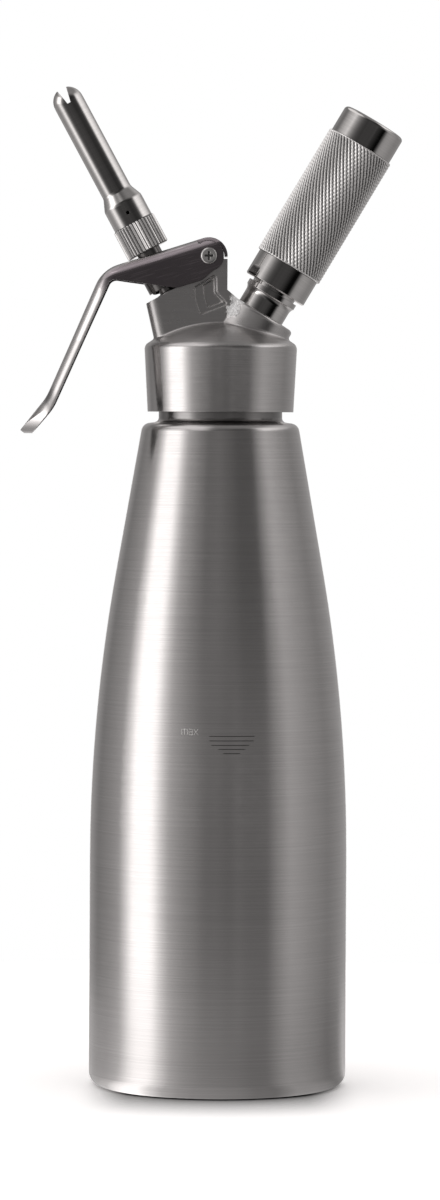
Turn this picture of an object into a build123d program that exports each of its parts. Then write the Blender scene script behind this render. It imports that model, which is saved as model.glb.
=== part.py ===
from build123d import *
import os
from math import cos, degrees, pi, radians, sin, sqrt, tan

# A one-litre whipped cream dispenser: a spun steel bottle, and a cast head that screws onto
# its neck. The head carries a push valve worked by a squeeze lever, the nozzle on the valve's
# stem, and a screw-on holder that drives an eight-gram gas charger onto a piercing needle.
# Millimetres, +Z up. The origin is the centre of the resting ring, the nozzle and the lever
# lean towards -X and the charger holder towards +X, and XZ is the plane of symmetry.

os.makedirs("parts", exist_ok=True)

# ---- Clearances ---------------------------------------------------------------------------
running_gap = 0.05  # round a shaft that turns or slides in its bore, and in a closed thread
parting_gap = 0.3  # between pieces that move past one another

# ---- How edges are picked for rounding ------------------------------------------------------
match = 0.01  # an edge or corner has the size or place asked for
near = 0.1  # an edge lies along the lever's skin
along_skin = 0.9  # an edge's direction is less than this far across the skin

# ---- Bottle -------------------------------------------------------------------------------
bottle_radius = 50.0
bottle_wall = 1.2
base_corner = 5.0
base_recess = 2.5  # how far the floor stands above the resting ring
ring_width = 6.0  # flat ring that the bottle stands on
recess_slope = 3.5
recess_corner = 3.0
straight_height = 88.0  # top of the straight wall, where the long curve begins
waist_curve = 650.0  # radius of the long curve from the straight wall into the cone
cone_angle = 9.9
shoulder_height = 257.3
shoulder_corner = 3.6
shoulder_rise = 0.9
neck_fillet = 1.8
neck_radius = 24.0
neck_length = 19.8
mouth_height = shoulder_height + shoulder_rise + neck_length

# ---- Head gasket and head casting ---------------------------------------------------------
gasket_thickness = 2.5
gasket_width = 3.7
skirt_height = 262.0  # lower edge of the band that screws over the neck
skirt_radius = 28.35
band_flare = 1.35  # how much wider the band is at its top
band_height = 25.7
band_corner = 3.0
dome_rise = 9.8
dome_waist = 0.55  # share of the band's radius where the dome has climbed most of its rise
dome_waist_rise = 0.716
skirt_lead = 1.0  # chamfer inside the skirt's lower edge
recess_depth = 3.0  # hollow above the gasket's land
recess_step = 0.8  # how far the hollow stands in from the gasket
housing_half_width = 10.3
housing_sink = 4.0  # how deep the housing reaches into the band below the dome
column_foot_lean = 0.5
web_rise = 17.0  # top of the web between the ear and the boss, above the band
web_offset = 13.0
ear_drop = 13.0
ear_radius = 5.0
cast_blend = 1.2  # rounding where housing, boss and dome meet
column_half_width = 10.4
column_corner = 5.0
boss_radius = 14.5
boss_corner = 1.5
boss_length = 17.0
column_reach = 3.5
ledge_drop = 1.1  # the lever's rest stop, below the pivot
ledge_reach = 7.2
pocket_shoulder = (-5.6, -12.0)  # the web's pocket, in corners from the pivot
pocket_top = (3.1, -6.6)
pocket_waist = (3.4, -13.8)
pocket_toe = (8.0, -18.6)
pocket_heel = (-3.0, -22.9)
pocket_side = (-5.1, -17.5)  # middle of its curved side
pocket_corner = 1.2
pocket_step = 1.3  # each of its two steps goes this much deeper
pocket_inset = (2.2, 1.5)  # the deeper step's left side and lower side stand in by this
pocket_land = 1.1  # flat between the two steps at the right
pocket_draft = 16.0  # degrees
bore_overcut = 2.0
drill_overcut = 1.0
seat_boss_height = 8.0
gas_drill_radius = 1.5
gas_drill_length = 8.0

# ---- Valve, along its own axis; depths are below the nozzle's lower end at rest -----------
valve_lean = 28.5  # degrees from upright, towards -X
nozzle_foot_x = -28.32
nozzle_foot_height = 324.3
rim_depth = 17.8  # where the valve housing's open rim is
stem_radius = 4.75
stem_thread = 9.5  # length of the threaded end that carries the nozzle
stem_bore = 2.2
stem_lead = 0.8
spindle_radius = 4.0
stem_flange_radius = 7.6
stem_flange = 2.8
spring_bore = 8.0
spring_floor_depth = 33.2
spring_wire = 1.3
spring_radius = 5.75
spring_turns = 5.5
bush_flange = 1.5
bush_radius = 6.5
bush_length = 8.5  # its flange included
ring_section = 1.2  # radius of the stem ring's round section
land_length = 1.4  # solid metal below the stem's ring
throat_radius = 4.3
chamber_radius = 5.5
seat_drop = 5.8  # how far the seat hangs below the hollow's ceiling, along the valve
seat_boss_radius = 9.0
port_radius = 1.6
port_rise = 2.4  # centre of the stem's ports above the seat
valve_tail = 3.0  # radius of the stem's tail, below the seal
tail_end = 0.7  # how far the tail stands out of its nut
seal_radius = 7.6
seal_thickness = 2.3
seal_washer = 1.0
seal_plate_radius = 6.5
nut_flats = 10.0
nut_height = 3.5

# ---- Lever, in its own frame: the pivot is the origin -------------------------------------
lever_arm = 19.7  # from the valve's axis to the pivot
pivot_depth = 13.1
lever_travel = 10.9  # degrees from rest to square with the valve
sheet = 1.2
plate_height = 7.24  # top of the lever's plate above the pivot
lever_half_width = 11.9
cheek_radius = 5.8  # round ends of the cheeks
tail_half_width = 9.4
slit_start = 2.5  # where the plate's tail parts from the cheeks
ball_radius = 8.0  # crown of the thrust washer
washer_skirt = 3.3  # cylindrical part of the thrust washer below the crown's centre
slot_width = 11.2
slot_travel = 1.5
bend_reach = 40.8  # from the pivot to where plate and handle would meet
bend_radius = 14.0
handle_kink = (76.2, -33.2)
kink_radius = 20.0
handle_tip = (89.8, -42.4)
lip_end = (87.6, -46.0)
lip_corner = 1.0
flange_kink = (75.2, -38.0)  # free edge of the handle's flanges and of the cheeks
cheek_crest = (38.8, 2.9)
cheek_valley = (32.6, -0.1)
cheek_front = (15.5, -8.1)
cheek_back = (5.2, -8.1)
cheek_drop = 13.0  # below the pivot, where the lever begins to narrow
waist_drop = 33.0
lever_drop = 68.8  # tip of the handle below the pivot
grip_half_width = 8.9
lever_edge = 2.6  # rounding between the skin and the cheeks
cheek_chord = 0.7
crest_curve = 3.0
valley_curve = 6.0
lever_reach = 200.0  # longer than the lever, to trim it from the front
pin_head_gap = 0.2  # between the cheeks and the heads of pin and screw
pin_radius = 2.2
pin_head_radius = 3.2
pin_head = 1.7
screw_radius = 1.4
screw_length = 9.0
screw_cross_length = 3.4
screw_cross_width = 0.8
screw_cross_share = 0.7  # depth of the cross in the head
screw_hole_end = 1.0  # thread left free below the screw

# ---- Nozzle, along the valve's axis upwards from its foot ----------------------------------
collar_radius = 8.65
collar_length = 12.2
collar_ridges = 38
collar_groove = 0.42  # radius of each groove between ridges
collar_plain = 1.0  # plain rim at each end of the ridges
nozzle_root = 6.6  # radius of the nozzle inside its collar
nozzle_body = 8.0
nozzle_body_end = 20.9
nozzle_taper_end = 25.6
nozzle_tube = 6.0
nozzle_wall = 1.4
nozzle_length = 70.8
nozzle_throat = 3.4
nozzle_land = 1.0  # plain length of the throat above the collar
nozzle_seal_height = 1.5
crown_start = 65.4
crown_tip = 2.9
crown_lip = 1.0
slot_depth = 6.2
slot_mouth = 4.2
slot_foot = 1.3
vent_height = 16.5
vent_radius = 0.75
nozzle_blend = 3.0  # rounding where the body tapers into the tube

# ---- Charger holder, along its own axis upwards from its lower end -------------------------
charger_lean = 30.7  # degrees from upright, towards +X
holder_foot_x = 20.7
holder_foot_height = 309.6
boss_depth = 10.5  # the boss's flat top below the holder's foot
spigot_radius = 9.55
spigot_flange_radius = 10.45
spigot_flange = 2.0
spigot_gap = 1.1  # thread in view between the flange and the holder
spigot_flare = 2.2
spigot_flare_curve = 3.3
spigot_lead = 0.8  # chamfer at the end of the spigot's thread
socket_lead = 1.6  # chamfer at the mouth of its socket
spigot_thread = 9.1
spigot_thread_end = 9.5
spigot_root = 8.0
spigot_root_depth = 22.0
spigot_nose = 5.4
spigot_nose_depth = 25.4
spigot_ring = 0.9
charger_socket = 4.75
charger_socket_floor = 1.2
needle_radius = 0.9
needle_bore = 0.4
needle_top = 6.2
needle_point = 1.6
needle_foot = -5.0
valve_chamber = 2.2
valve_chamber_depth = 17.5
check_ball = 1.6
ball_gap = 0.9  # between the ball at rest and the foot of the needle
check_spring_share = 0.75  # radius of the spring as a share of the ball's
check_wire = 0.25
check_turns = 6
plug_height = 2.5
gas_hole = 1.2
gas_drill_x = 8.2
holder_bore = 9.6
mouth_runout = 1.0  # plain bore between the threads' end and the tube
tube_thread = 0.8
holder_tube = 11.3
holder_band = 12.85
holder_band_height = 10.5
holder_grip_radius = 13.7
holder_cap_height = 10.9
grip_bevel = 0.5
knurl_starts = 8  # grooves in each of the two crossing families
knurl_lean = 30.0  # degrees between the grooves and the holder's axis
knurl_depth = 0.55
knurl_width = 1.3
knurl_overcut = 0.4
knurl_runout = 2.0
holder_cap_radius = 12.9
holder_length = 75.5
holder_cap_floor = 7.0  # solid thickness of the cap's end
holder_cap_edge = 1.5
charger_radius = 8.9
charger_foot = 3.2  # lower end of the charger above the holder's foot
charger_neck = 4.4
charger_neck_length = 5.0
charger_shoulder = 8.5
charger_crown = 7.5
charger_wall = 1.2
pierced_hole = 1.25

# ---- Derived places -------------------------------------------------------------------------
ceiling_height = mouth_height + gasket_thickness
thread_bore = neck_radius + parting_gap
valve_section = Plane(
    origin=(nozzle_foot_x, 0, nozzle_foot_height),
    x_dir=(cos(radians(valve_lean)), 0, sin(radians(valve_lean))),
    z_dir=(0, -1, 0),
)
valve_axis = Axis(valve_section.origin, valve_section.y_dir)
charger_section = Plane(
    origin=(holder_foot_x, 0, holder_foot_height),
    x_dir=(cos(radians(charger_lean)), 0, -sin(radians(charger_lean))),
    z_dir=(0, -1, 0),
)
charger_axis = Axis(charger_section.origin, charger_section.y_dir)
pivot = valve_section.from_local_coords((lever_arm, -pivot_depth, 0))
plate_lean = radians(valve_lean - lever_travel)
lever_side = Plane(
    origin=pivot,
    x_dir=(-cos(plate_lean), 0, -sin(plate_lean)),
    z_dir=(0, 1, 0),
)
lever_front = Plane(origin=pivot, x_dir=(0, 1, 0), z_dir=(-1, 0, 0))
plate_plane = Plane(
    origin=pivot + lever_side.y_dir * plate_height,
    x_dir=lever_side.x_dir,
    z_dir=lever_side.y_dir,
)

# The slot's edges ride on the crown of the thrust washer, so its centre stays at one
# distance below the plate, and the lever's travel gives the crown's depth at rest.
crown_below_plate = sqrt((ball_radius + parting_gap) ** 2 - (slot_width / 2) ** 2)
under_plate = plate_height - sheet
travel = radians(lever_travel)
crown_depth = pivot_depth + (crown_below_plate - under_plate - lever_arm * sin(travel)) / cos(travel)
flange_depth = crown_depth + washer_skirt
flange_foot_depth = flange_depth + stem_flange
bush_top_depth = spring_floor_depth - bush_flange
ring_depth = bush_top_depth + bush_length + ring_section + running_gap
ring_floor_depth = ring_depth + ring_section + running_gap
chamber_depth = ring_floor_depth + land_length
hollow_ceiling = ceiling_height + recess_depth
seat_depth = (nozzle_foot_height - hollow_ceiling) / cos(radians(valve_lean)) + seat_drop
port_depth = seat_depth - port_rise
nut_depth = seat_depth + seal_thickness + seal_washer
tail_depth = nut_depth + nut_height + tail_end
check_ball_top = needle_foot - ball_gap
check_ball_height = check_ball_top - check_ball
holder_mouth = spigot_thread + parting_gap
holder_grip_end = holder_length - holder_cap_height
holder_end = holder_length - holder_cap_floor
charger_length = holder_end - parting_gap - charger_foot


def section(plane, *corners):
    """The half-section of a turned piece: a closed outline of straight edges in a plane."""
    with BuildSketch(plane) as outline:
        with BuildLine():
            Polyline(*corners, close=True)
        make_face()
    return outline.sketch


def across(section_plane, height):
    """The plane square to a tilted axis, at a height along it."""
    return Plane(
        origin=section_plane.from_local_coords((0, height, 0)),
        x_dir=section_plane.x_dir,
        z_dir=section_plane.y_dir,
    )


def seen_from_side(section_plane, offset, height):
    """X and Z of a point that is given across and along a tilted axis."""
    point = section_plane.from_local_coords((offset, height, 0))
    return point.X, point.Z


# ---- Bottle -------------------------------------------------------------------------------
cone_slope = tan(radians(cone_angle))
waist_height = straight_height + waist_curve * tan(radians(cone_angle) / 2)
shoulder_radius = bottle_radius - (shoulder_height - waist_height) * cone_slope
ring_inner = bottle_radius - base_corner - ring_width
with BuildPart() as bottle:
    with BuildSketch(Plane.XZ):
        with BuildLine():
            FilletPolyline(
                (0, base_recess),
                (ring_inner - recess_slope, base_recess),
                (ring_inner, 0),
                (bottle_radius, 0),
                (bottle_radius, waist_height),
                (shoulder_radius, shoulder_height),
                (neck_radius, shoulder_height + shoulder_rise),
                (neck_radius, mouth_height),
                radius=[recess_corner, recess_corner, base_corner, waist_curve, shoulder_corner, neck_fillet],
            )
            offset(amount=bottle_wall, side=Side.LEFT)
        make_face()
    revolve(axis=Axis.Z)
bottle.part.label = "bottle"
export_step(bottle.part, "parts/bottle.step")

# ---- Head gasket --------------------------------------------------------------------------
with BuildPart() as head_gasket:
    with BuildSketch(Plane.XY.offset(mouth_height)):
        Circle(neck_radius)
        Circle(neck_radius - gasket_width, mode=Mode.SUBTRACT)
    extrude(amount=gasket_thickness)
head_gasket.part.label = "head_gasket"
export_step(head_gasket.part, "parts/head_gasket.step")

# ---- Head casting -------------------------------------------------------------------------
band_top = skirt_height + band_height
band_radius = skirt_radius + band_flare
inner_recess = neck_radius - gasket_width - recess_step
rim_left = seen_from_side(valve_section, -column_half_width, -rim_depth)
rim_right = seen_from_side(valve_section, column_half_width, -rim_depth)
with BuildSketch() as pocket_outline:
    with BuildLine():
        Polyline(pocket_shoulder, pocket_top, pocket_waist, pocket_toe, pocket_heel)
        ThreePointArc(pocket_heel, pocket_side, pocket_shoulder)
    make_face()
    fillet(pocket_outline.vertices(), pocket_corner)
housing_side = Plane((pivot.X, -housing_half_width, pivot.Z), x_dir=(1, 0, 0), z_dir=(0, -1, 0))
with BuildPart() as web_pocket:
    with BuildSketch(housing_side):
        add(pocket_outline.sketch)
    extrude(amount=-pocket_step, taper=pocket_draft)
    with BuildSketch(housing_side.offset(-pocket_step)):
        add(pocket_outline.sketch)
        with Locations(pocket_inset):
            add(pocket_outline.sketch, mode=Mode.INTERSECT)
        offset(amount=-pocket_land)
    extrude(amount=-pocket_step, taper=pocket_draft)

with BuildPart() as head_casting:
    with BuildSketch(Plane.XZ) as cap_section:
        with BuildLine():
            Polyline((0, skirt_height), (skirt_radius, skirt_height), (band_radius, band_top))
            ThreePointArc(
                (band_radius, band_top),
                (band_radius * dome_waist, band_top + dome_rise * dome_waist_rise),
                (0, band_top + dome_rise),
            )
            Line((0, band_top + dome_rise), (0, skirt_height))
        make_face()
        fillet(cap_section.vertices().sort_by(Axis.X)[-1], band_corner)
    revolve(axis=Axis.Z)
    with BuildSketch(Plane.XZ):
        with BuildLine():
            Polyline(
                rim_left,
                (rim_left[0] + column_reach, band_top + column_foot_lean),
                (rim_left[0] + column_reach + column_foot_lean, band_top - housing_sink),
                (holder_foot_x, band_top - housing_sink),
                (holder_foot_x - web_offset, band_top + web_rise),
                (pivot.X + ledge_reach, pivot.Z - ear_drop),
                (pivot.X + ledge_reach, pivot.Z - ledge_drop),
                (pivot.X, pivot.Z - ledge_drop),
                (pivot.X - ear_radius, pivot.Z - ledge_drop),
                rim_right,
                close=True,
            )
        make_face()
        with Locations((pivot.X, pivot.Z)):
            Circle(ear_radius)
    extrude(amount=housing_half_width, both=True)
    column_corners = head_casting.edges().filter_by(GeomType.LINE).filter_by(
        lambda edge: edge.center().X < rim_left[0] + column_reach and abs(edge.center().Y) > 1
    )
    fillet(column_corners, column_corner)
    with BuildSketch(across(charger_section, -boss_depth)):
        Circle(boss_radius)
    extrude(amount=-boss_length)
    boss_rim = head_casting.edges().filter_by(GeomType.CIRCLE).filter_by(
        lambda edge: abs(edge.radius - boss_radius) < match
    )
    fillet(boss_rim.sort_by(charger_axis)[-1], boss_corner)
    # Where dome, housing and boss run into one another, the casting is rounded
    fillet(head_casting.edges().filter_by(GeomType.BSPLINE), cast_blend)
    # The threaded bore, the gasket's land and the hollow above it
    with BuildSketch(Plane.XY.offset(skirt_height)):
        Circle(thread_bore)
    extrude(amount=ceiling_height - skirt_height, mode=Mode.SUBTRACT)
    with BuildSketch(Plane.XY.offset(ceiling_height)):
        Circle(inner_recess)
    extrude(amount=recess_depth, mode=Mode.SUBTRACT)
    skirt_mouth = head_casting.edges().filter_by(GeomType.CIRCLE).filter_by(
        lambda edge: abs(edge.radius - thread_bore) < match
    )
    chamfer(skirt_mouth.sort_by(Axis.Z)[0], skirt_lead)
    # The valve's seat hangs below the ceiling, square to the valve
    with BuildSketch(across(valve_section, -seat_depth)):
        Circle(seat_boss_radius)
    extrude(amount=seat_boss_height)
    revolve(
        section(
            valve_section,
            (0, -rim_depth + bore_overcut),
            (spring_bore, -rim_depth + bore_overcut),
            (spring_bore, -spring_floor_depth),
            (bush_radius + running_gap, -spring_floor_depth),
            (bush_radius + running_gap, -ring_floor_depth),
            (throat_radius, -ring_floor_depth),
            (throat_radius, -chamber_depth),
            (chamber_radius, -chamber_depth),
            (chamber_radius, -seat_depth - bore_overcut),
            (0, -seat_depth - bore_overcut),
        ),
        axis=valve_axis,
        mode=Mode.SUBTRACT,
    )
    # The charger spigot's threaded hole, and the drilled way from it into the bottle
    revolve(
        section(
            charger_section,
            (0, -boss_depth + bore_overcut),
            (spigot_root + running_gap, -boss_depth + bore_overcut),
            (spigot_root + running_gap, -spigot_root_depth - 2 * spigot_ring),
            (spigot_nose + running_gap, -spigot_root_depth - 2 * spigot_ring),
            (spigot_nose + running_gap, -spigot_nose_depth - parting_gap),
            (0, -spigot_nose_depth - parting_gap),
        ),
        axis=charger_axis,
        mode=Mode.SUBTRACT,
    )
    with BuildSketch(Plane.XY.offset(ceiling_height - drill_overcut)):
        with Locations((gas_drill_x, 0)):
            Circle(gas_drill_radius)
    extrude(amount=gas_drill_length, mode=Mode.SUBTRACT)
    # The pivot's bore through the ear
    with BuildSketch(Plane.XZ):
        with Locations((pivot.X, pivot.Z)):
            Circle(pin_radius + running_gap)
    extrude(amount=housing_half_width + drill_overcut, both=True, mode=Mode.SUBTRACT)
    # A stepped pocket in each side of the web, between the valve, the ear and the boss
    add(web_pocket.part, mode=Mode.SUBTRACT)
    mirror(web_pocket.part, about=Plane.XZ, mode=Mode.SUBTRACT)
head_casting.part.label = "head_casting"
export_step(head_casting.part, "parts/head_casting.step")

# ---- Valve: guide bush, stem ring, stem, thrust washer, spring, seal and nut ----------------
with BuildPart() as valve_bush:
    revolve(
        section(
            valve_section,
            (spindle_radius + running_gap, -bush_top_depth),
            (spring_bore - parting_gap, -bush_top_depth),
            (spring_bore - parting_gap, -spring_floor_depth),
            (bush_radius, -spring_floor_depth),
            (bush_radius, -bush_top_depth - bush_length),
            (spindle_radius + running_gap, -bush_top_depth - bush_length),
        ),
        axis=valve_axis,
    )
valve_bush.part.label = "valve_bush"
export_step(valve_bush.part, "parts/valve_bush.step")

with BuildPart() as stem_ring:
    with BuildSketch(valve_section):
        with Locations((spindle_radius + running_gap + ring_section, -ring_depth)):
            Circle(ring_section)
    revolve(axis=valve_axis)
stem_ring.part.label = "stem_ring"
export_step(stem_ring.part, "parts/stem_ring.step")

with BuildPart() as valve_stem:
    revolve(
        section(
            valve_section,
            (stem_bore, stem_thread),
            (stem_radius - stem_lead, stem_thread),
            (stem_radius, stem_thread - stem_lead),
            (stem_radius, -flange_depth),
            (stem_flange_radius, -flange_depth),
            (stem_flange_radius, -flange_foot_depth),
            (spindle_radius, -flange_foot_depth),
            (spindle_radius, -seat_depth),
            (valve_tail, -seat_depth),
            (valve_tail, -tail_depth),
            (0, -tail_depth),
            (0, -port_depth - port_radius),
            (stem_bore, -port_depth - port_radius),
        ),
        axis=valve_axis,
    )
    port_centre = valve_section.from_local_coords((0, -port_depth, 0))
    for port_direction in (valve_section.z_dir, valve_section.x_dir):
        with BuildSketch(Plane(origin=port_centre, z_dir=port_direction)):
            Circle(port_radius)
        extrude(amount=spindle_radius + drill_overcut, both=True, mode=Mode.SUBTRACT)
valve_stem.part.label = "valve_stem"
export_step(valve_stem.part, "parts/valve_stem.step")

with BuildPart() as thrust_washer:
    with BuildSketch(valve_section):
        with BuildLine():
            crown_edge = sqrt(ball_radius**2 - stem_flange_radius**2)
            crown_mouth = sqrt(ball_radius**2 - (stem_radius + running_gap) ** 2)
            crown_middle = (stem_flange_radius + stem_radius) / 2
            ThreePointArc(
                (stem_flange_radius, crown_edge - crown_depth),
                (crown_middle, sqrt(ball_radius**2 - crown_middle**2) - crown_depth),
                (stem_radius + running_gap, crown_mouth - crown_depth),
            )
            Polyline(
                (stem_radius + running_gap, crown_mouth - crown_depth),
                (stem_radius + running_gap, -flange_depth),
                (stem_flange_radius, -flange_depth),
                (stem_flange_radius, crown_edge - crown_depth),
            )
        make_face()
    revolve(axis=valve_axis)
thrust_washer.part.label = "thrust_washer"
export_step(thrust_washer.part, "parts/thrust_washer.step")


def coil_spring(section_plane, foot, top, radius, wire, turns):
    """A compression spring with ground ends between two heights on a tilted axis."""
    pitch = (top - foot) / turns
    with BuildPart() as spring:
        with BuildLine():
            coil = Helix(
                pitch=pitch,
                height=top - foot,
                radius=radius,
                center=section_plane.from_local_coords((0, foot, 0)),
                direction=section_plane.y_dir,
            )
        with BuildSketch(Plane(origin=coil @ 0, z_dir=coil % 0)):
            Circle(wire / 2)
        sweep(path=coil, is_frenet=True)
        with BuildSketch(across(section_plane, foot)):
            Circle(radius + wire)
        extrude(amount=top - foot, mode=Mode.INTERSECT)
    return spring.part


with BuildPart() as return_spring:
    add(
        coil_spring(
            valve_section, -bush_top_depth, -flange_foot_depth, spring_radius, spring_wire, spring_turns
        )
    )
return_spring.part.label = "return_spring"
export_step(return_spring.part, "parts/return_spring.step")


def ring(section_plane, inner, outer, top, height):
    """A flat ring on a tilted axis, from its top down."""
    with BuildPart() as washer:
        with BuildSketch(across(section_plane, top)):
            Circle(outer)
            Circle(inner, mode=Mode.SUBTRACT)
        extrude(amount=-height)
    return washer.part


with BuildPart() as valve_seal:
    add(ring(valve_section, valve_tail, seal_radius, -seat_depth, seal_thickness))
valve_seal.part.label = "valve_seal"
export_step(valve_seal.part, "parts/valve_seal.step")

with BuildPart() as seal_plate:
    add(ring(valve_section, valve_tail, seal_plate_radius, -seat_depth - seal_thickness, seal_washer))
seal_plate.part.label = "seal_plate"
export_step(seal_plate.part, "parts/seal_plate.step")

with BuildPart() as valve_nut:
    with BuildSketch(across(valve_section, -nut_depth)):
        RegularPolygon(nut_flats / 2, 6, major_radius=False)
        Circle(valve_tail, mode=Mode.SUBTRACT)
    extrude(amount=-nut_height)
valve_nut.part.label = "valve_nut"
export_step(valve_nut.part, "parts/valve_nut.step")

# ---- Lever: one piece of formed sheet ---------------------------------------------------------
# The skin is the plate over the valve, its bend, and the back of the handle with its lip.
skin_points = [(slit_start, plate_height), (bend_reach, plate_height), handle_kink, handle_tip]
with BuildLine(lever_side) as lever_skin:
    FilletPolyline(*skin_points, radius=[bend_radius, kink_radius])
with BuildSketch(lever_side) as lever_strip:
    with BuildLine():
        FilletPolyline(*skin_points, radius=[bend_radius, kink_radius])
        offset(amount=sheet, side=Side.RIGHT)
    make_face()
with BuildSketch(lever_side) as lever_outline:
    with BuildLine():
        FilletPolyline(
            *skin_points,
            lip_end,
            flange_kink,
            cheek_crest,
            cheek_valley,
            cheek_front,
            cheek_back,
            (-cheek_radius * cheek_chord, -cheek_radius * cheek_chord),
            (0, 0),
            (slit_start, cheek_radius * cheek_chord),
            close=True,
            radius=[
                0,
                bend_radius,
                kink_radius,
                0,
                lip_corner,
                kink_radius,
                crest_curve,
                valley_curve,
                valley_curve,
                crest_curve,
                0,
                0,
                0,
            ],
        )
    make_face()
    Circle(cheek_radius)
with BuildSketch(lever_side) as lever_inside:
    with BuildLine():
        FilletPolyline(
            *skin_points,
            (handle_tip[0], handle_tip[1] - lever_drop),
            (-lever_arm, handle_tip[1] - lever_drop),
            (-lever_arm, plate_height),
            close=True,
            radius=[0, bend_radius, kink_radius, 0, 0, 0, 0],
        )
    make_face()
    add(lever_strip.sketch_local, mode=Mode.SUBTRACT)


def lever_width(trim):
    """The lever's outline from the front, trimmed at both sides: cheeks, waist and handle."""
    with BuildSketch(lever_front) as outline:
        with BuildLine():
            side = Polyline(
                (lever_half_width - trim, -lever_arm),
                (lever_half_width - trim, cheek_drop),
                (grip_half_width - trim, waist_drop),
                (grip_half_width - trim, lever_drop + lever_arm),
            )
            mirror(side, about=Plane.YZ)
            Line((lever_half_width - trim, -lever_arm), (trim - lever_half_width, -lever_arm))
            Line(
                (grip_half_width - trim, lever_drop + lever_arm),
                (trim - grip_half_width, lever_drop + lever_arm),
            )
        make_face()
    return outline.sketch


def lever_tip(trim):
    """The round end of the handle from the front, wide open above it."""
    with BuildSketch(lever_front) as outline:
        with Locations((0, lever_drop - grip_half_width)):
            Circle(grip_half_width - trim)
        with Locations((0, lever_drop - grip_half_width)):
            Rectangle(
                2 * lever_half_width, lever_drop + lever_arm, align=(Align.CENTER, Align.MAX)
            )
    return outline.sketch


def edges_beside_skin(edges, depth):
    """The long edges at both sides of the skin, at a depth below its outer face."""
    return edges.filter_by(
        lambda edge: abs(edge.center().Y) > sheet
        and abs((edge % 0.5).Y) < along_skin
        and abs(lever_skin.line.distance_to(Vector(edge.center().X, 0, edge.center().Z)) - depth) < near
    )


with BuildPart() as lever_hollow:
    extrude(lever_inside.sketch, amount=lever_half_width, both=True)
    extrude(lever_width(sheet), amount=lever_reach, both=True, mode=Mode.INTERSECT)
    fillet(edges_beside_skin(lever_hollow.edges(), sheet), lever_edge - sheet)
    extrude(lever_tip(sheet), amount=lever_reach, both=True, mode=Mode.INTERSECT)

with BuildPart() as lever:
    extrude(lever_outline.sketch, amount=lever_half_width, both=True)
    extrude(lever_width(0), amount=lever_reach, both=True, mode=Mode.INTERSECT)
    fillet(edges_beside_skin(lever.edges(), 0), lever_edge)
    extrude(lever_tip(0), amount=lever_reach, both=True, mode=Mode.INTERSECT)
    add(lever_hollow.part, mode=Mode.SUBTRACT)
    # The plate's tail curls round the ends of the cheeks, a slit away from them
    with BuildSketch(lever_side):
        with BuildLine():
            tail_angle = 180 + degrees(plate_lean)
            outer_curl = CenterArc((0, 0), plate_height, 90, tail_angle - 90)
            inner_curl = CenterArc((0, 0), under_plate, 90, tail_angle - 90)
            Line(outer_curl @ 1, inner_curl @ 1)
            Polyline(
                outer_curl @ 0,
                (slit_start + sheet, plate_height),
                (slit_start + sheet, under_plate),
                inner_curl @ 0,
            )
        make_face()
    extrude(amount=tail_half_width, both=True)
    with BuildSketch(plate_plane):
        with Locations((lever_arm + slot_travel / 2, 0)):
            SlotCenterToCenter(slot_travel, slot_width)
    extrude(amount=-sheet - lever_edge, mode=Mode.SUBTRACT)
    with BuildSketch(lever_side):
        Circle(pin_radius + running_gap)
    extrude(amount=lever_half_width + drill_overcut, both=True, mode=Mode.SUBTRACT)
lever.part.label = "lever"
export_step(lever.part, "parts/lever.step")

# ---- Pivot: a sleeve nut through the ear and both cheeks, and its screw ----------------------
head_seat = lever_half_width + pin_head_gap
with BuildPart() as pivot_sleeve:
    with BuildSketch(Plane.XZ.offset(-head_seat)):
        with Locations((pivot.X, pivot.Z)):
            Circle(pin_radius)
    extrude(amount=2 * head_seat)
    with BuildSketch(Plane.XZ.offset(-head_seat)):
        with Locations((pivot.X, pivot.Z)):
            Circle(pin_head_radius)
    extrude(amount=-pin_head)
    fillet(pivot_sleeve.edges().sort_by(Axis.Y)[-1], pin_head / 2)
    with BuildSketch(Plane.XZ.offset(head_seat)):
        with Locations((pivot.X, pivot.Z)):
            Circle(screw_radius)
    extrude(amount=-screw_length - screw_hole_end, mode=Mode.SUBTRACT)
pivot_sleeve.part.label = "pivot_sleeve"
export_step(pivot_sleeve.part, "parts/pivot_sleeve.step")

with BuildPart() as pivot_screw:
    with BuildSketch(Plane.XZ.offset(head_seat)):
        with Locations((pivot.X, pivot.Z)):
            Circle(pin_head_radius)
    extrude(amount=pin_head)
    fillet(pivot_screw.edges().sort_by(Axis.Y)[0], pin_head / 2)
    with BuildSketch(Plane.XZ.offset(head_seat)):
        with Locations((pivot.X, pivot.Z)):
            Circle(screw_radius)
    extrude(amount=-screw_length)
    with BuildSketch(Plane.XZ.offset(head_seat + pin_head)):
        with Locations((pivot.X, pivot.Z)):
            Rectangle(screw_cross_width, screw_cross_length)
            Rectangle(screw_cross_length, screw_cross_width)
    extrude(amount=-pin_head * screw_cross_share, mode=Mode.SUBTRACT)
pivot_screw.part.label = "pivot_screw"
export_step(pivot_screw.part, "parts/pivot_screw.step")

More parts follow.
